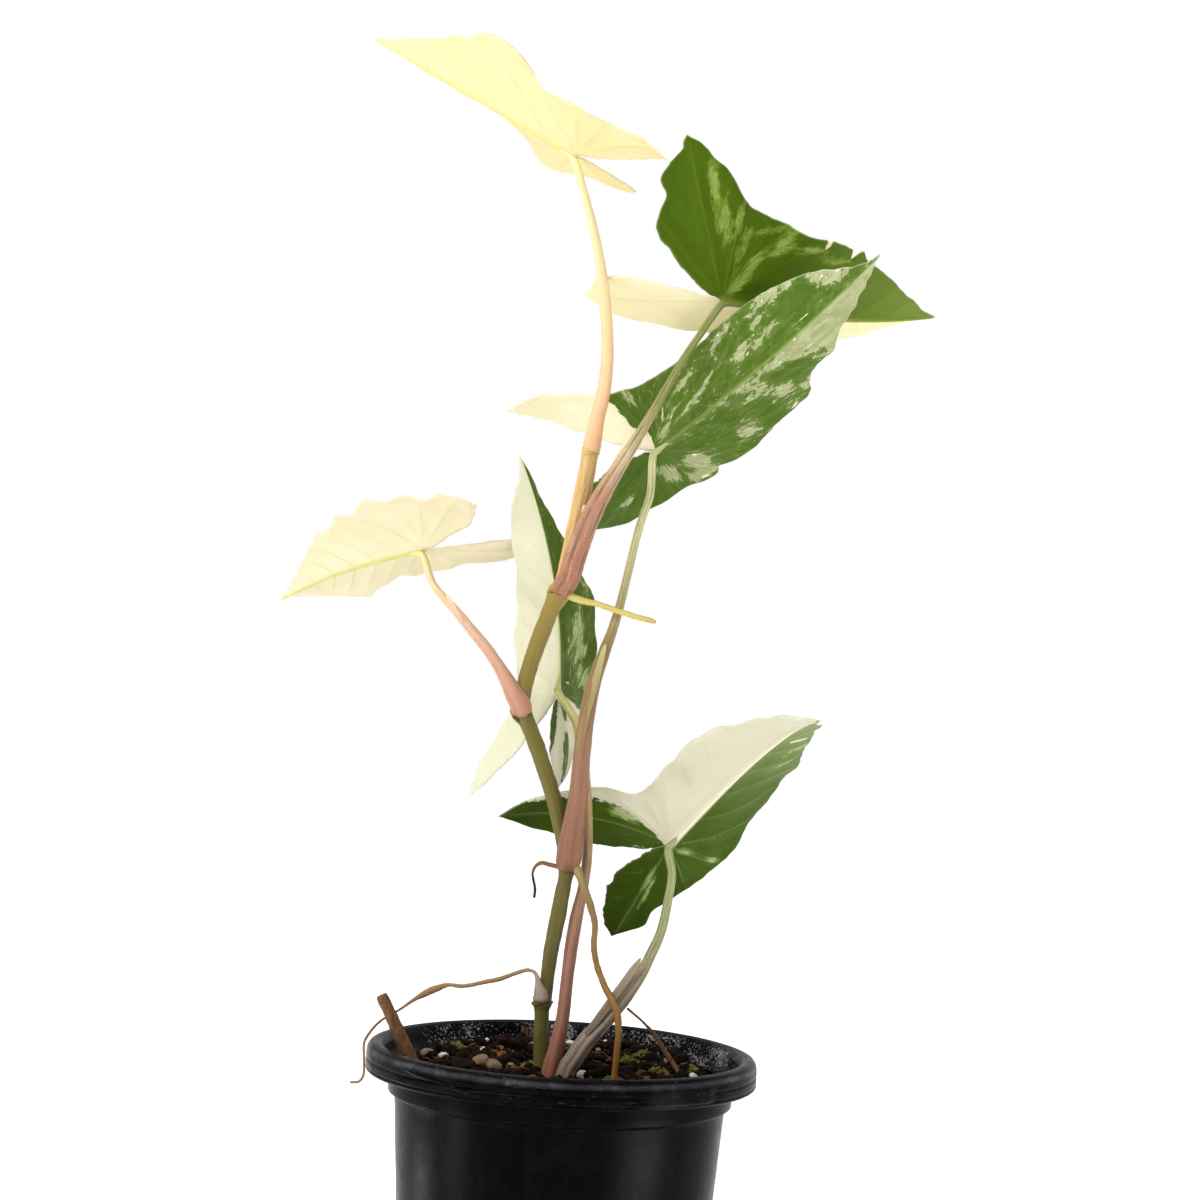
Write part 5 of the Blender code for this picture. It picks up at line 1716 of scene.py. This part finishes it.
# Joint where the top petiole leaves the stem
JOINT = (-1.3, -4.5, 250.6, 2.15, 0.12)
# Steps of the route round a ring
RING_STEPS = 12
# Buds beside the third node: centre and radius
BUDS = ((-18.6, -0.8, 179.2, 0.75), (-17.9, -1.8, 177.6, 0.4))


@dataclass(frozen=True)
class Shoots:
    """The stem, the petioles, the roots, the dried stalk, the stump and the twig."""

    ribs: dict = field(default_factory=lambda: {
        "A": (4, 0.02, 0.12), "B": (5, 0.055, 0.2), "C": (6, 0.05, 0.2), "D": (4, 0.04, 0.2),
        "E": (4, 0.06, 0.8), "F": (6, 0.10, 0.8),
    })

    def petiole_route(self, blade: Blade) -> Route:
        """The petiole's own points, and its end inside the midrib under the blade.

        Args:
            blade: the blade that it carries.

        Returns:
            The route.
        """
        ends = (
            (*blade.along(-0.2, 2.0), 1.0), (*blade.along(1.1, 1.3), 0.82), (*blade.along(3.2, 0.95), 0.52),
            (*blade.along(5.6, 0.75), 0.25),
        )
        return (*PETIOLES[blade.letter], *ends)

    def build(self) -> list[Object]:
        """Makes the pieces.

        Returns:
            The pieces.
        """
        stem = Tube(STEM, 36, 0.5, ridges=7, ridge=0.03, wrinkle=0.06, blunt=0.25, seed=1.0)
        made = [TubePiece("stem_skin", stem, STEM_SKIN, "stem_skin", ("stem",)).build()]
        for blade in BLADES:
            letter = blade.letter
            ribs, rib, blunt = self.ribs[letter]
            tube = Tube(
                self.petiole_route(blade), 30, 0.5, ridges=ribs, ridge=rib, wrinkle=0.035, blunt=blunt,
                seed=PETIOLE_SKINS[letter].seed,
            )
            name = "petiole_" + letter
            skin = PETIOLE_SKINS[letter]
            made.append(TubePiece(name + "_skin", tube, skin, "petiole_skin", (name,)).build())
        root = {"ridges": 6, "ridge": 0.04, "wrinkle": 0.12, "wrinkle_size": 1.4}
        for name, route, finish, slot, node in (
            ("yellow_root_skin", YELLOW_ROOT, YELLOW_SKIN, "root_skin", "yellow_aerial_root"),
            ("brown_root_skin", BROWN_ROOT, BROWN_SKIN, "root_skin", "brown_root"),
            ("thin_root_skin", THIN_ROOT, THREAD_SKIN, "root_skin", "thin_root"),
            ("dried_stalk_skin", DRIED_STALK, PAPER, "dry_fibre", "dried_leaf_stalk"),
            ("dry_twig_bark", DRY_TWIG, DEAD_WOOD, "dead_wood", "dry_twig"),
        ):
            tube = Tube(route, 16, 0.45, seed=len(name), **root)
            made.append(TubePiece(name, tube, finish, slot, (node,)).build())
        stump = Tube(
            CUT_STUMP, 28, 0.35, ridges=9, ridge=0.035, wrinkle=0.09, wrinkle_size=1.3, blunt=0.12,
        )
        made.append(TubePiece("cut_stump_bark", stump, DEAD_WOOD, "dead_wood", ("cut_stump",)).build())
        for letter, route in SHEATHS.items():
            flat = Tube(
                route, 24, 0.4, ridges=0, ridge=0.0, wrinkle=0.10, wrinkle_size=3.0, oval=0.74, seed=3.0,
            )
            skin = SHEATH_SKINS[letter[0]]
            made.append(TubePiece("sheath_tip_" + letter, flat, skin, "petiole_skin").build())
        made.append(dress("leaf_scars", Shell.join(self.scars()), SCAR_SKIN))
        made.append(dress("stalk_joint", self.ring(*JOINT), JOINT_SKIN))
        return made

    def ring(self, x: float, y: float, z: float, radius: float, slope: float) -> Shell:
        """A raised ring round the stem, sloped to the side.

        Args:
            x: centre, to the side.
            y: centre, to the back.
            z: centre, up.
            radius: radius of the ring.
            slope: rise for each millimetre to the side.

        Returns:
            The shell.
        """
        route = []
        for i in range(RING_STEPS + 1):
            turn = math.tau * i / RING_STEPS
            out = radius * (1.0 + 0.03 * math.sin(3.0 * turn + z))
            route.append((
                x + out * math.cos(turn), y + out * math.sin(turn), z + slope * out * math.cos(turn),
                0.30 + 0.08 * math.sin(2.0 * turn + z),
            ))
        return Tube(tuple(route), 10, 0.35, wrinkle=0.2, wrinkle_size=1.0, blunt=0.1).shell()

    def scars(self) -> list[Shell]:
        """Raised rings round the stem's nodes, and the buds beside them.

        Returns:
            The rings and buds.
        """
        shells = [self.ring(*node) for node in NODES]
        for x, y, z, radius in BUDS:
            route = (
                (x + 1.3, y, z - 0.8, radius), (x, y - 0.2, z, radius * 0.85),
                (x - 0.8, y - 0.3, z + 0.7, 0.2),
            )
            shells.append(Tube(route, 14, 0.2, wrinkle=0.15, wrinkle_size=1.0).shell())
        return shells


# Relief of the pot's lip: directions in degrees, heights in millimetres
PAD_TURN, PAD_HALF = -55.0, 12.5
PAD_FOOT, PAD_HEAD = (83.2, 84.0), (87.4, 88.4)
RIDGE_TURN, RIDGE_HALF = -126.0, 15.0
RIDGE_TOP, RIDGE_SLOPE = 87.8, 0.115
GROOVES = ((85.7, 0.22, 1.0), (83.6, 0.18, 0.7))


def away_from(turn: Array, degrees: float) -> Array:
    """How far directions lie from one direction, from -180 to 180 degrees."""
    return np.degrees(np.angle(np.exp(1j * (turn - math.radians(degrees)))))


@dataclass(frozen=True)
class Pot:
    """The nursery pot: rolled lip, band, tapering body and a floor with drain holes."""

    height: float = 90.0
    rim_outer: float = 52.5
    rim_inner: float = 47.5
    lip_depth: float = 7.5
    channel: float = 4.0
    band_radius: float = 46.2
    band_height: float = 77.0
    body_top: float = 44.4
    body_foot: float = 38.5
    wall: float = 1.5
    floor: float = 2.2
    bevel: float = 1.2
    drain_radius: float = 4.0
    drain_circle: float = 24.0
    drains: int = 4
    rounding: float = 0.35
    segments: int = 200

    def profile(self) -> list[tuple[float, float]]:
        """Half the pot's section, from the inner floor over the lip to the underside.

        Returns:
            Radius and height of each corner.
        """
        outer, inner, band = self.rim_outer, self.rim_inner, self.band_radius
        wall, top = self.wall, self.height
        low = top - self.lip_depth
        shelf = self.band_height
        slope = (self.body_top - self.body_foot) / shelf
        foot = self.body_foot - wall + slope * self.floor
        skirt = outer - wall
        middle = self.drain_circle - self.drain_radius - 2.0
        return [
            (0.0, self.floor), (middle, self.floor), (foot - 1.0, self.floor), (foot, self.floor + 1.0),
            (self.body_top - wall, shelf - 1.0), (band - wall, shelf + 0.6), (band - wall + 0.4, low),
            (inner - 0.6, top - 4.5), (inner, top - 2.0), (inner + 1.0, top - 0.5),
            ((inner + outer) / 2, top), (outer - 1.0, top - 0.4), (outer - 0.2, top - 1.5),
            (outer, top - 3.0), (outer, low + 0.4), (outer - 0.5, low), (skirt, low),
            (skirt - 0.3, low + self.channel), (band + 1.0, low + self.channel), (band, low - 0.5),
            (band, shelf + 0.3), (self.body_top, shelf - 0.5),
            (self.body_foot + self.bevel * 0.2, self.bevel), (self.body_foot - self.bevel, 0.0),
            (middle, 0.0), (0.0, 0.0),
        ]

    def fine_profile(self) -> Array:
        """The section with its corners rounded and its long runs divided.

        Returns:
            Radius and height of each point.
        """
        corners = np.array(self.profile())
        line = [corners[0]]
        for before, corner, after in zip(corners, corners[1:], corners[2:]):
            back = before - corner
            on = after - corner
            cut_back = min(self.rounding, np.linalg.norm(back) * 0.4) / np.linalg.norm(back)
            cut_on = min(self.rounding, np.linalg.norm(on) * 0.4) / np.linalg.norm(on)
            start = corner + back * cut_back
            end = corner + on * cut_on
            for share in (0.0, 0.33, 0.67, 1.0):
                middle = 2 * share * (1 - share) * corner
                line.append((1 - share) ** 2 * start + middle + share ** 2 * end)
        line.append(corners[-1])
        fine = [line[0]]
        for before, after in zip(line, line[1:]):
            by_lip = before[1] > self.height - self.lip_depth - 1.0
            step = 0.22 if by_lip and before[0] > self.rim_outer - 1.5 else 2.0
            pieces = max(int(np.linalg.norm(after - before) / step), 1)
            fine += [before + (after - before) * (i + 1) / pieces for i in range(pieces)]
        return np.array(fine)

    def relief(self, radius: Array, z: Array, turn: Array) -> Array:
        """How far the surface stands out: the raised pad and the slanted ridge on the lip.

        Args:
            radius: distances from the axis.
            z: heights.
            turn: directions.

        Returns:
            The offsets.
        """
        outside = ease(radius, self.rim_outer - 0.9, self.rim_outer - 0.15)
        beside = PAD_HALF - np.abs(away_from(turn, PAD_TURN))
        pad = ease(beside, 0.0, 0.9) * ease(z, *PAD_FOOT) * (1.0 - ease(z, *PAD_HEAD))
        ridge_turn = away_from(turn, RIDGE_TURN)
        ridge_height = RIDGE_TOP - (ridge_turn + 14.0) * RIDGE_SLOPE
        ridge = np.exp(-((z - ridge_height) / 0.45) ** 2)
        ridge = ridge * ease(RIDGE_HALF - np.abs(ridge_turn), 0.0, 3.0)
        groove = sum(deep * np.exp(-((z - at) / wide) ** 2) for at, wide, deep in GROOVES)
        return outside * (0.6 * pad + 0.35 * ridge - 0.34 * groove * (1.0 - pad))

    def build(self) -> Object:
        """Makes the pot, with its drain holes cut out.

        Returns:
            The piece.
        """
        line = self.fine_profile()
        turn = circle(self.segments)
        radius = line[:, 0][:, None] * np.ones(self.segments)
        z = line[:, 1][:, None] * np.ones(self.segments)
        turns = turn[None] * np.ones((len(line), 1))
        sway = 0.12 * np.sin(2 * turns + 0.7) * ease(z, 20.0, 88.0) * (radius > 30.0)
        radius = radius + sway + self.relief(radius, z, turns)
        points = around(radius, turns, z).reshape(-1, 3)
        shell = Shell(points, grid_faces(len(line), self.segments, closed=True)).weld()
        piece = dress("pot_shell", shell, PlasticFinish("black_pot_plastic"), ("pot",))
        self.drill(piece)
        return piece

    def drill(self, piece: Object) -> None:
        """Cuts the drain holes.

        Args:
            piece: the pot.
        """
        sheet = bmesh.new()
        for i in range(self.drains):
            angle = math.tau * (i + 0.5) / self.drains
            place = Matrix.Translation((
                self.drain_circle * MM * math.cos(angle), self.drain_circle * MM * math.sin(angle),
                self.floor / 2 * MM,
            ))
            bmesh.ops.create_cone(
                sheet, cap_ends=True, segments=32, radius1=self.drain_radius * MM,
                radius2=self.drain_radius * MM, depth=self.floor * 4 * MM, matrix=place,
            )
        mesh = bpy.data.meshes.new("drain_bits")
        sheet.to_mesh(mesh)
        sheet.free()
        bits = add_object("drain_bits", mesh)
        change = piece.modifiers.new("drains", "BOOLEAN")
        change.operation = "DIFFERENCE"
        change.solver = "EXACT"
        change.object = bits
        bpy.context.view_layer.update()
        graph = bpy.context.evaluated_depsgraph_get()
        drilled = bpy.data.meshes.new_from_object(piece.evaluated_get(graph))
        piece.modifiers.clear()
        piece.data = drilled
        drilled.shade_smooth()
        drilled.set_sharp_from_angle(angle=math.radians(50))
        bpy.data.objects.remove(bits, do_unlink=True)


# Height of the soil, its rise to the back and its bumps
SOIL_TOP = 82.0
SOIL_RISE = 2.8
SOIL_BUMPS = 0.9
# Radius of the soil's top and, below it, radius and height of its side and underside
SOIL_WIDE = 44.35
SOIL_SIDE = ((SOIL_WIDE, 78.2), (42.25, 75.6), (35.3, 3.55), (34.3, 2.55), (0.0, 2.55))


def soil_height(x: float, y: float) -> float:
    """Height of the soil.

    Args:
        x: place to the side.
        y: place to the back.

    Returns:
        The height.
    """
    far = min(max((y - 4.0) / 40.0, 0.0), 1.0)
    bumps = noise.noise(Vector((x, y, 3.0)) / 7.0) + 0.5 * noise.noise(Vector((x, y, 9.0)) / 3.0)
    return SOIL_TOP + SOIL_RISE * far * far * (3 - 2 * far) + SOIL_BUMPS * bumps


@dataclass(frozen=True)
class Scatter:
    """Many small lumps strewn over the soil and fused in one piece."""

    name: str
    finish: Finish
    count: int
    smallest: float
    largest: float
    flat: float = 0.8
    long: float = 1.3
    rough: float = 0.25
    seed: int = 1
    sink: float = 0.2
    detail: int = 2
    reach: float = 43.0
    spots: tuple = ()

    def shell(self) -> Shell:
        """All the lumps.

        Returns:
            The shell.
        """
        draw = random.Random(self.seed)
        sheet = bmesh.new()
        bmesh.ops.create_icosphere(sheet, subdivisions=self.detail, radius=1.0)
        ball = np.array([v.co for v in sheet.verts])
        ball_faces = [tuple(v.index for v in f.verts) for f in sheet.faces]
        sheet.free()
        shells = []
        places = [(x, y, size) for x, y, size in self.spots]
        while len(places) < self.count + len(self.spots):
            radius = self.reach * math.sqrt(draw.random())
            angle = math.tau * draw.random()
            size = self.smallest + (self.largest - self.smallest) * draw.random() ** 2.2
            places.append((radius * math.cos(angle), radius * math.sin(angle), size))
        for x, y, size in places:
            stretch = draw.uniform(1.0, self.long)
            tip = (draw.uniform(-0.5, 0.5), draw.uniform(-0.5, 0.5), draw.uniform(0.0, math.tau))
            turn = Euler(tip)
            shift = draw.uniform(0.0, 90.0)
            grown = ball * (1.0 + self.rough * lumps(ball, 0.8, 3, shift))[:, None]
            grown = grown * (size * stretch, size / stretch, size * self.flat)
            lift = soil_height(x, y) + size * (self.flat - self.sink)
            grown = grown @ np.array(turn.to_matrix()).T + (x, y, lift)
            shells.append(Shell(grown, ball_faces))
        return Shell.join(shells)

    def build(self) -> Object:
        """Makes the piece."""
        return dress(self.name, self.shell(), self.finish)


@dataclass(frozen=True)
class Soil:
    """The potting mix: its body, and what lies on it."""

    rings: int = 120
    segments: int = 240
    moss_leaves: int = 110
    fibre_count: int = 46
    fibre_reach: float = 43.0
    spikes: int = 9
    tufts: tuple = (
        (-8.4, 4.0, 2.6), (-3.0, 8.0, 1.8), (18.4, 20.0, 2.6), (26.4, 8.3, 2.6), (34.5, 14.0, 2.4),
        (23.0, 27.0, 2.0), (2.0, 30.0, 2.2), (-30.0, 24.0, 1.8), (14.0, -6.0, 2.2),
    )

    def body(self) -> Shell:
        """Crumbly top, side and underside of the mix.

        Returns:
            The shell.
        """
        turn = circle(self.segments)
        radius = np.linspace(0.0, SOIL_WIDE, self.rings)
        x = radius[:, None] * np.cos(turn)[None]
        y = radius[:, None] * np.sin(turn)[None]
        base = np.array([[soil_height(a, b) for a, b in zip(*row)] for row in zip(x, y)])
        flat = np.stack([x, y, np.zeros_like(x)], -1).reshape(-1, 3)
        coarse = lumps(flat, 4.5, 3, 1.0).reshape(x.shape)
        fine = np.abs(lumps(flat, 1.3, 3, 5.0)).reshape(x.shape)
        z = base + 0.7 * coarse + 0.9 * fine - 0.3
        top = np.stack([x, y, z], -1)
        lower = []
        for wide, height in SOIL_SIDE:
            lower.append(around(wide, turn, np.full_like(turn, height)))
        points = np.concatenate([top, np.stack(lower)]).reshape(-1, 3)
        faces = grid_faces(self.rings + len(SOIL_SIDE), self.segments, closed=True)
        return Shell(points, faces).weld()

    def build(self) -> list[Object]:
        """Makes the soil, with its crumbs, perlite, pebbles, bark, moss and fibres.

        Returns:
            The pieces.
        """
        dirt = GrainFinish("potting_mix", pits=0.5)
        crumbs = GrainFinish(
            "soil_crumbs", dark=(0.002, 0.001, 0.0007), light=(0.014, 0.0075, 0.005), pits=0.3,
        )
        perlite = GrainFinish(
            "perlite", dark=(0.34, 0.31, 0.27), light=(0.62, 0.60, 0.56), speck=(0.30, 0.22, 0.15),
            broad=0.6, specks=0.02, pits=0.2,
        )
        pebble = GrainFinish(
            "tan_pebbles", dark=(0.11, 0.07, 0.04), light=(0.26, 0.18, 0.11), speck=(0.10, 0.06, 0.035),
            broad=0.5, specks=0.08, pits=0.12, rough=0.7,
        )
        bark = GrainFinish(
            "bark_chips", dark=(0.05, 0.018, 0.006), light=(0.20, 0.085, 0.03), speck=(0.38, 0.2, 0.09),
            broad=0.4, fine=1.2, pits=0.3, stretch=(1.0, 0.4, 1.0),
        )
        green = GrainFinish(
            "moss", dark=(0.06, 0.058, 0.010), light=(0.26, 0.25, 0.07), speck=(0.42, 0.38, 0.16),
            broad=0.5, specks=0.05, pits=0.1,
        )
        fibre = GrainFinish(
            "fibres", dark=(0.04, 0.018, 0.008), light=(0.20, 0.11, 0.05), speck=(0.3, 0.2, 0.1), pits=0.1,
        )
        white = (
            (5.6, 1.2, 1.5), (17.5, 2.0, 1.7), (12.0, 39.0, 1.4), (-33.0, 17.0, 1.2), (24.0, 16.0, 1.2),
            (-8.0, 30.0, 1.0), (36.0, 6.0, 1.3), (1.9, 36.0, 1.2), (-22.4, 26.0, 1.0),
        )
        tan = (
            (-22.4, 8.4, 2.3), (-18.2, 3.0, 2.0), (-37.5, 17.0, 1.8), (-14.0, 9.0, 1.4), (28.0, 22.0, 1.6),
        )
        return [
            dress("potting_mix", self.body(), dirt, ("soil",)),
            Scatter("soil_crumbs", crumbs, 1100, 0.5, 2.2, seed=3, rough=0.4).build(),
            Scatter("perlite", perlite, 30, 0.3, 1.0, seed=5, rough=0.25, spots=white, detail=3).build(),
            Scatter("tan_pebbles", pebble, 12, 0.5, 1.4, seed=6, rough=0.12, spots=tan, detail=3).build(),
            Scatter("bark_chips", bark, 80, 0.8, 3.0, flat=0.35, long=1.6, seed=8, rough=0.3).build(),
            dress("moss", self.moss(), green),
            dress("fibres", self.fibres(), fibre),
        ]

    def moss(self) -> Shell:
        """Tufts of small pointed leaves.

        Returns:
            The shell.
        """
        draw = random.Random(21)
        shells = []
        for x, y, size in self.tufts:
            ground = soil_height(x, y)
            for _ in range(self.moss_leaves):
                turn = draw.uniform(0.0, math.tau)
                out = size * math.sqrt(draw.random())
                lean = out / size
                foot = (
                    x + out * math.cos(turn), y + 0.8 * out * math.sin(turn),
                    ground + 1.2 * (1.0 - lean) + 0.5,
                )
                length = draw.uniform(0.9, 1.7)
                tip = (
                    foot[0] + length * (0.3 + lean) * 0.7 * math.cos(turn) + draw.uniform(-0.2, 0.2),
                    foot[1] + length * (0.3 + lean) * 0.7 * math.sin(turn) + draw.uniform(-0.2, 0.2),
                    foot[2] + length * (1.15 - 0.7 * lean),
                )
                middle = tuple((a + b) / 2 + draw.uniform(-0.12, 0.12) for a, b in zip(foot, tip))
                route = ((*foot, 0.18), (*middle, 0.28), (*tip, 0.07))
                shells.append(Tube(route, 6, 0.25, wrinkle=0.1, oval=0.4, blunt=0.5).shell())
        return Shell.join(shells)

    def fibres(self) -> Shell:
        """Thin root hairs and coir fibres that curl over the soil, and one spiky piece of bark.

        Returns:
            The shell.
        """
        draw = random.Random(22)
        shells = []
        for _ in range(self.fibre_count):
            radius = 42.0 * math.sqrt(draw.random())
            turn = draw.uniform(0.0, math.tau)
            x, y = radius * math.cos(turn), radius * math.sin(turn)
            heading = draw.uniform(0.0, math.tau)
            route = []
            for step in range(7):
                lift = 0.9 + 1.1 * math.sin(math.pi * step / 6) * draw.random()
                route.append((x, y, soil_height(x, y) + lift, draw.uniform(0.10, 0.17)))
                heading += draw.uniform(-0.6, 0.6)
                x += 1.5 * math.cos(heading)
                y += 1.5 * math.sin(heading)
                if math.hypot(x, y) > self.fibre_reach:
                    break
            if len(route) > 3:
                shells.append(Tube(tuple(route), 6, 0.5, wrinkle=0.1).shell())
        for i in range(self.spikes):
            lean = draw.uniform(-2.2, 2.2)
            side = -11.0 + 0.3 * i
            route = (
                (-11.0 + 0.25 * i, 38.0, 84.5, 0.5), (side + lean * 0.4, 37.6, 87.0, 0.35),
                (side + lean, 37.2, 88.0 + draw.uniform(0.0, 2.2), 0.10),
            )
            shells.append(Tube(route, 8, 0.3, wrinkle=0.15, wrinkle_size=1.0).shell())
        return Shell.join(shells)


@dataclass(frozen=True)
class Lamp:
    """One soft light: its place, what it faces, its width and height, and its power."""

    name: str
    place: Place
    target: Place
    size: tuple[float, float]
    watts: float

    def build(self) -> None:
        """Adds the light."""
        data = bpy.data.lights.new(self.name, "AREA")
        data.energy = self.watts
        data.shape = "RECTANGLE"
        data.size = self.size[0] * MM
        data.size_y = self.size[1] * MM
        lamp = add_object(self.name, data)
        lamp.location = Vector(self.place) * MM
        away = Vector(self.target) - Vector(self.place)
        lamp.rotation_euler = away.to_track_quat("-Z", "Y").to_euler()


# What the lights face: the plant's middle, the pot, and a point under it for the low cards
MIDDLE = (0.0, 0.0, 200.0)
BY_POT = (0.0, 0.0, 50.0)
LOW = (0.0, 0.0, -85.0)
LAMPS = (
    Lamp("key_light", (-520.0, -700.0, 760.0), MIDDLE, (420.0, 420.0), 7.2),
    Lamp("top_light", (60.0, 160.0, 900.0), MIDDLE, (500.0, 500.0), 3.0),
    Lamp("right_strip", (822.0, -366.0, 60.0), BY_POT, (60.0, 220.0), 1.4),
    Lamp("left_strip", (-840.0, -300.0, 60.0), BY_POT, (60.0, 220.0), 1.2),
    Lamp("right_card", (130.0, -93.0, 29.0), LOW, (70.0, 56.0), 0.20),
    Lamp("left_card", (-141.0, -68.0, 28.0), LOW, (24.0, 52.0), 0.06),
    Lamp("side_card", (-151.0, 18.0, 18.0), LOW, (30.0, 34.0), 0.05),
)


@dataclass(frozen=True)
class Studio:
    """Camera, lights, world and floor."""

    lens: float = 63.0
    sensor: float = 36.0
    pitch: float = 3.4
    roll: float = 3.2
    distance: float = 567.0
    aim: Place = (0.0, 0.0, 90.0)
    aim_pixel: tuple[float, float] = (562.5, 1047.0)
    picture: float = 1200.0
    floor_half: float = 3.0

    def camera(self) -> None:
        """Stands the camera where the photograph was taken from."""
        pitch = math.radians(self.pitch)
        roll = math.radians(self.roll)
        ahead = Vector((0.0, math.cos(pitch), math.sin(pitch)))
        right = Vector((1.0, 0.0, 0.0))
        up = right.cross(ahead)
        across = math.cos(roll) * right + math.sin(roll) * up
        upward = -math.sin(roll) * right + math.cos(roll) * up
        focal = self.lens / self.sensor * self.picture
        right_by = (self.aim_pixel[0] - self.picture / 2) / focal * self.distance
        up_by = (self.picture / 2 - self.aim_pixel[1]) / focal * self.distance
        place = Vector(self.aim) - (ahead * self.distance + across * right_by + upward * up_by)
        data = bpy.data.cameras.new("camera")
        data.lens = self.lens
        data.sensor_width = self.sensor
        data.clip_start = 0.01
        camera = add_object("camera", data)
        turned = Matrix((across, upward, -ahead)).transposed().to_4x4()
        camera.matrix_world = Matrix.Translation(place * MM) @ turned
        bpy.context.scene.camera = camera

    def build(self) -> None:
        """Sets up the studio."""
        self.camera()
        for lamp in LAMPS:
            lamp.build()
        world = bpy.data.worlds.new("studio")
        bpy.context.scene.world = world
        tree = Tree(world)
        _, away, _ = tree.split(tree.add("ShaderNodeTexCoord", {}, {}, "Generated"))
        strength = 1.0 - away.rise(-0.25, -0.75) * 0.5
        sockets = {"Color": (1.0, 1.0, 1.0, 1.0), "Strength": strength}
        white = tree.add("ShaderNodeBackground", {}, sockets)
        tree.add("ShaderNodeOutputWorld", {}, {"Surface": white}, None)
        bpy.context.scene.view_settings.view_transform = "Standard"
        self.floor()

    def floor(self) -> None:
        """Lays the pale floor."""
        mesh = bpy.data.meshes.new("floor")
        half = self.floor_half
        corners = [(-half, -half, 0), (half, -half, 0), (half, half, 0), (-half, half, 0)]
        mesh.from_pydata(corners, [], [(0, 1, 2, 3)])
        floor = add_object("floor", mesh)
        pale = GrainFinish(
            "pale_floor", dark=(0.88, 0.88, 0.88), light=(0.92, 0.92, 0.92), speck=(0.9, 0.9, 0.9),
            broad=0.01, fine=0.05, specks=0.0, pits=0.02, glow=0.36,
        )
        mesh.materials.append(pale.make())


def main() -> None:
    """Builds the plant in order, bottom up, then the studio."""
    Pot().build()
    Soil().build()
    Shoots().build()
    for blade in BLADES:
        blade.build()
    Studio().build()


if __name__ == "__main__":
    logging.basicConfig(level=logging.INFO, format="%(message)s")
    main()
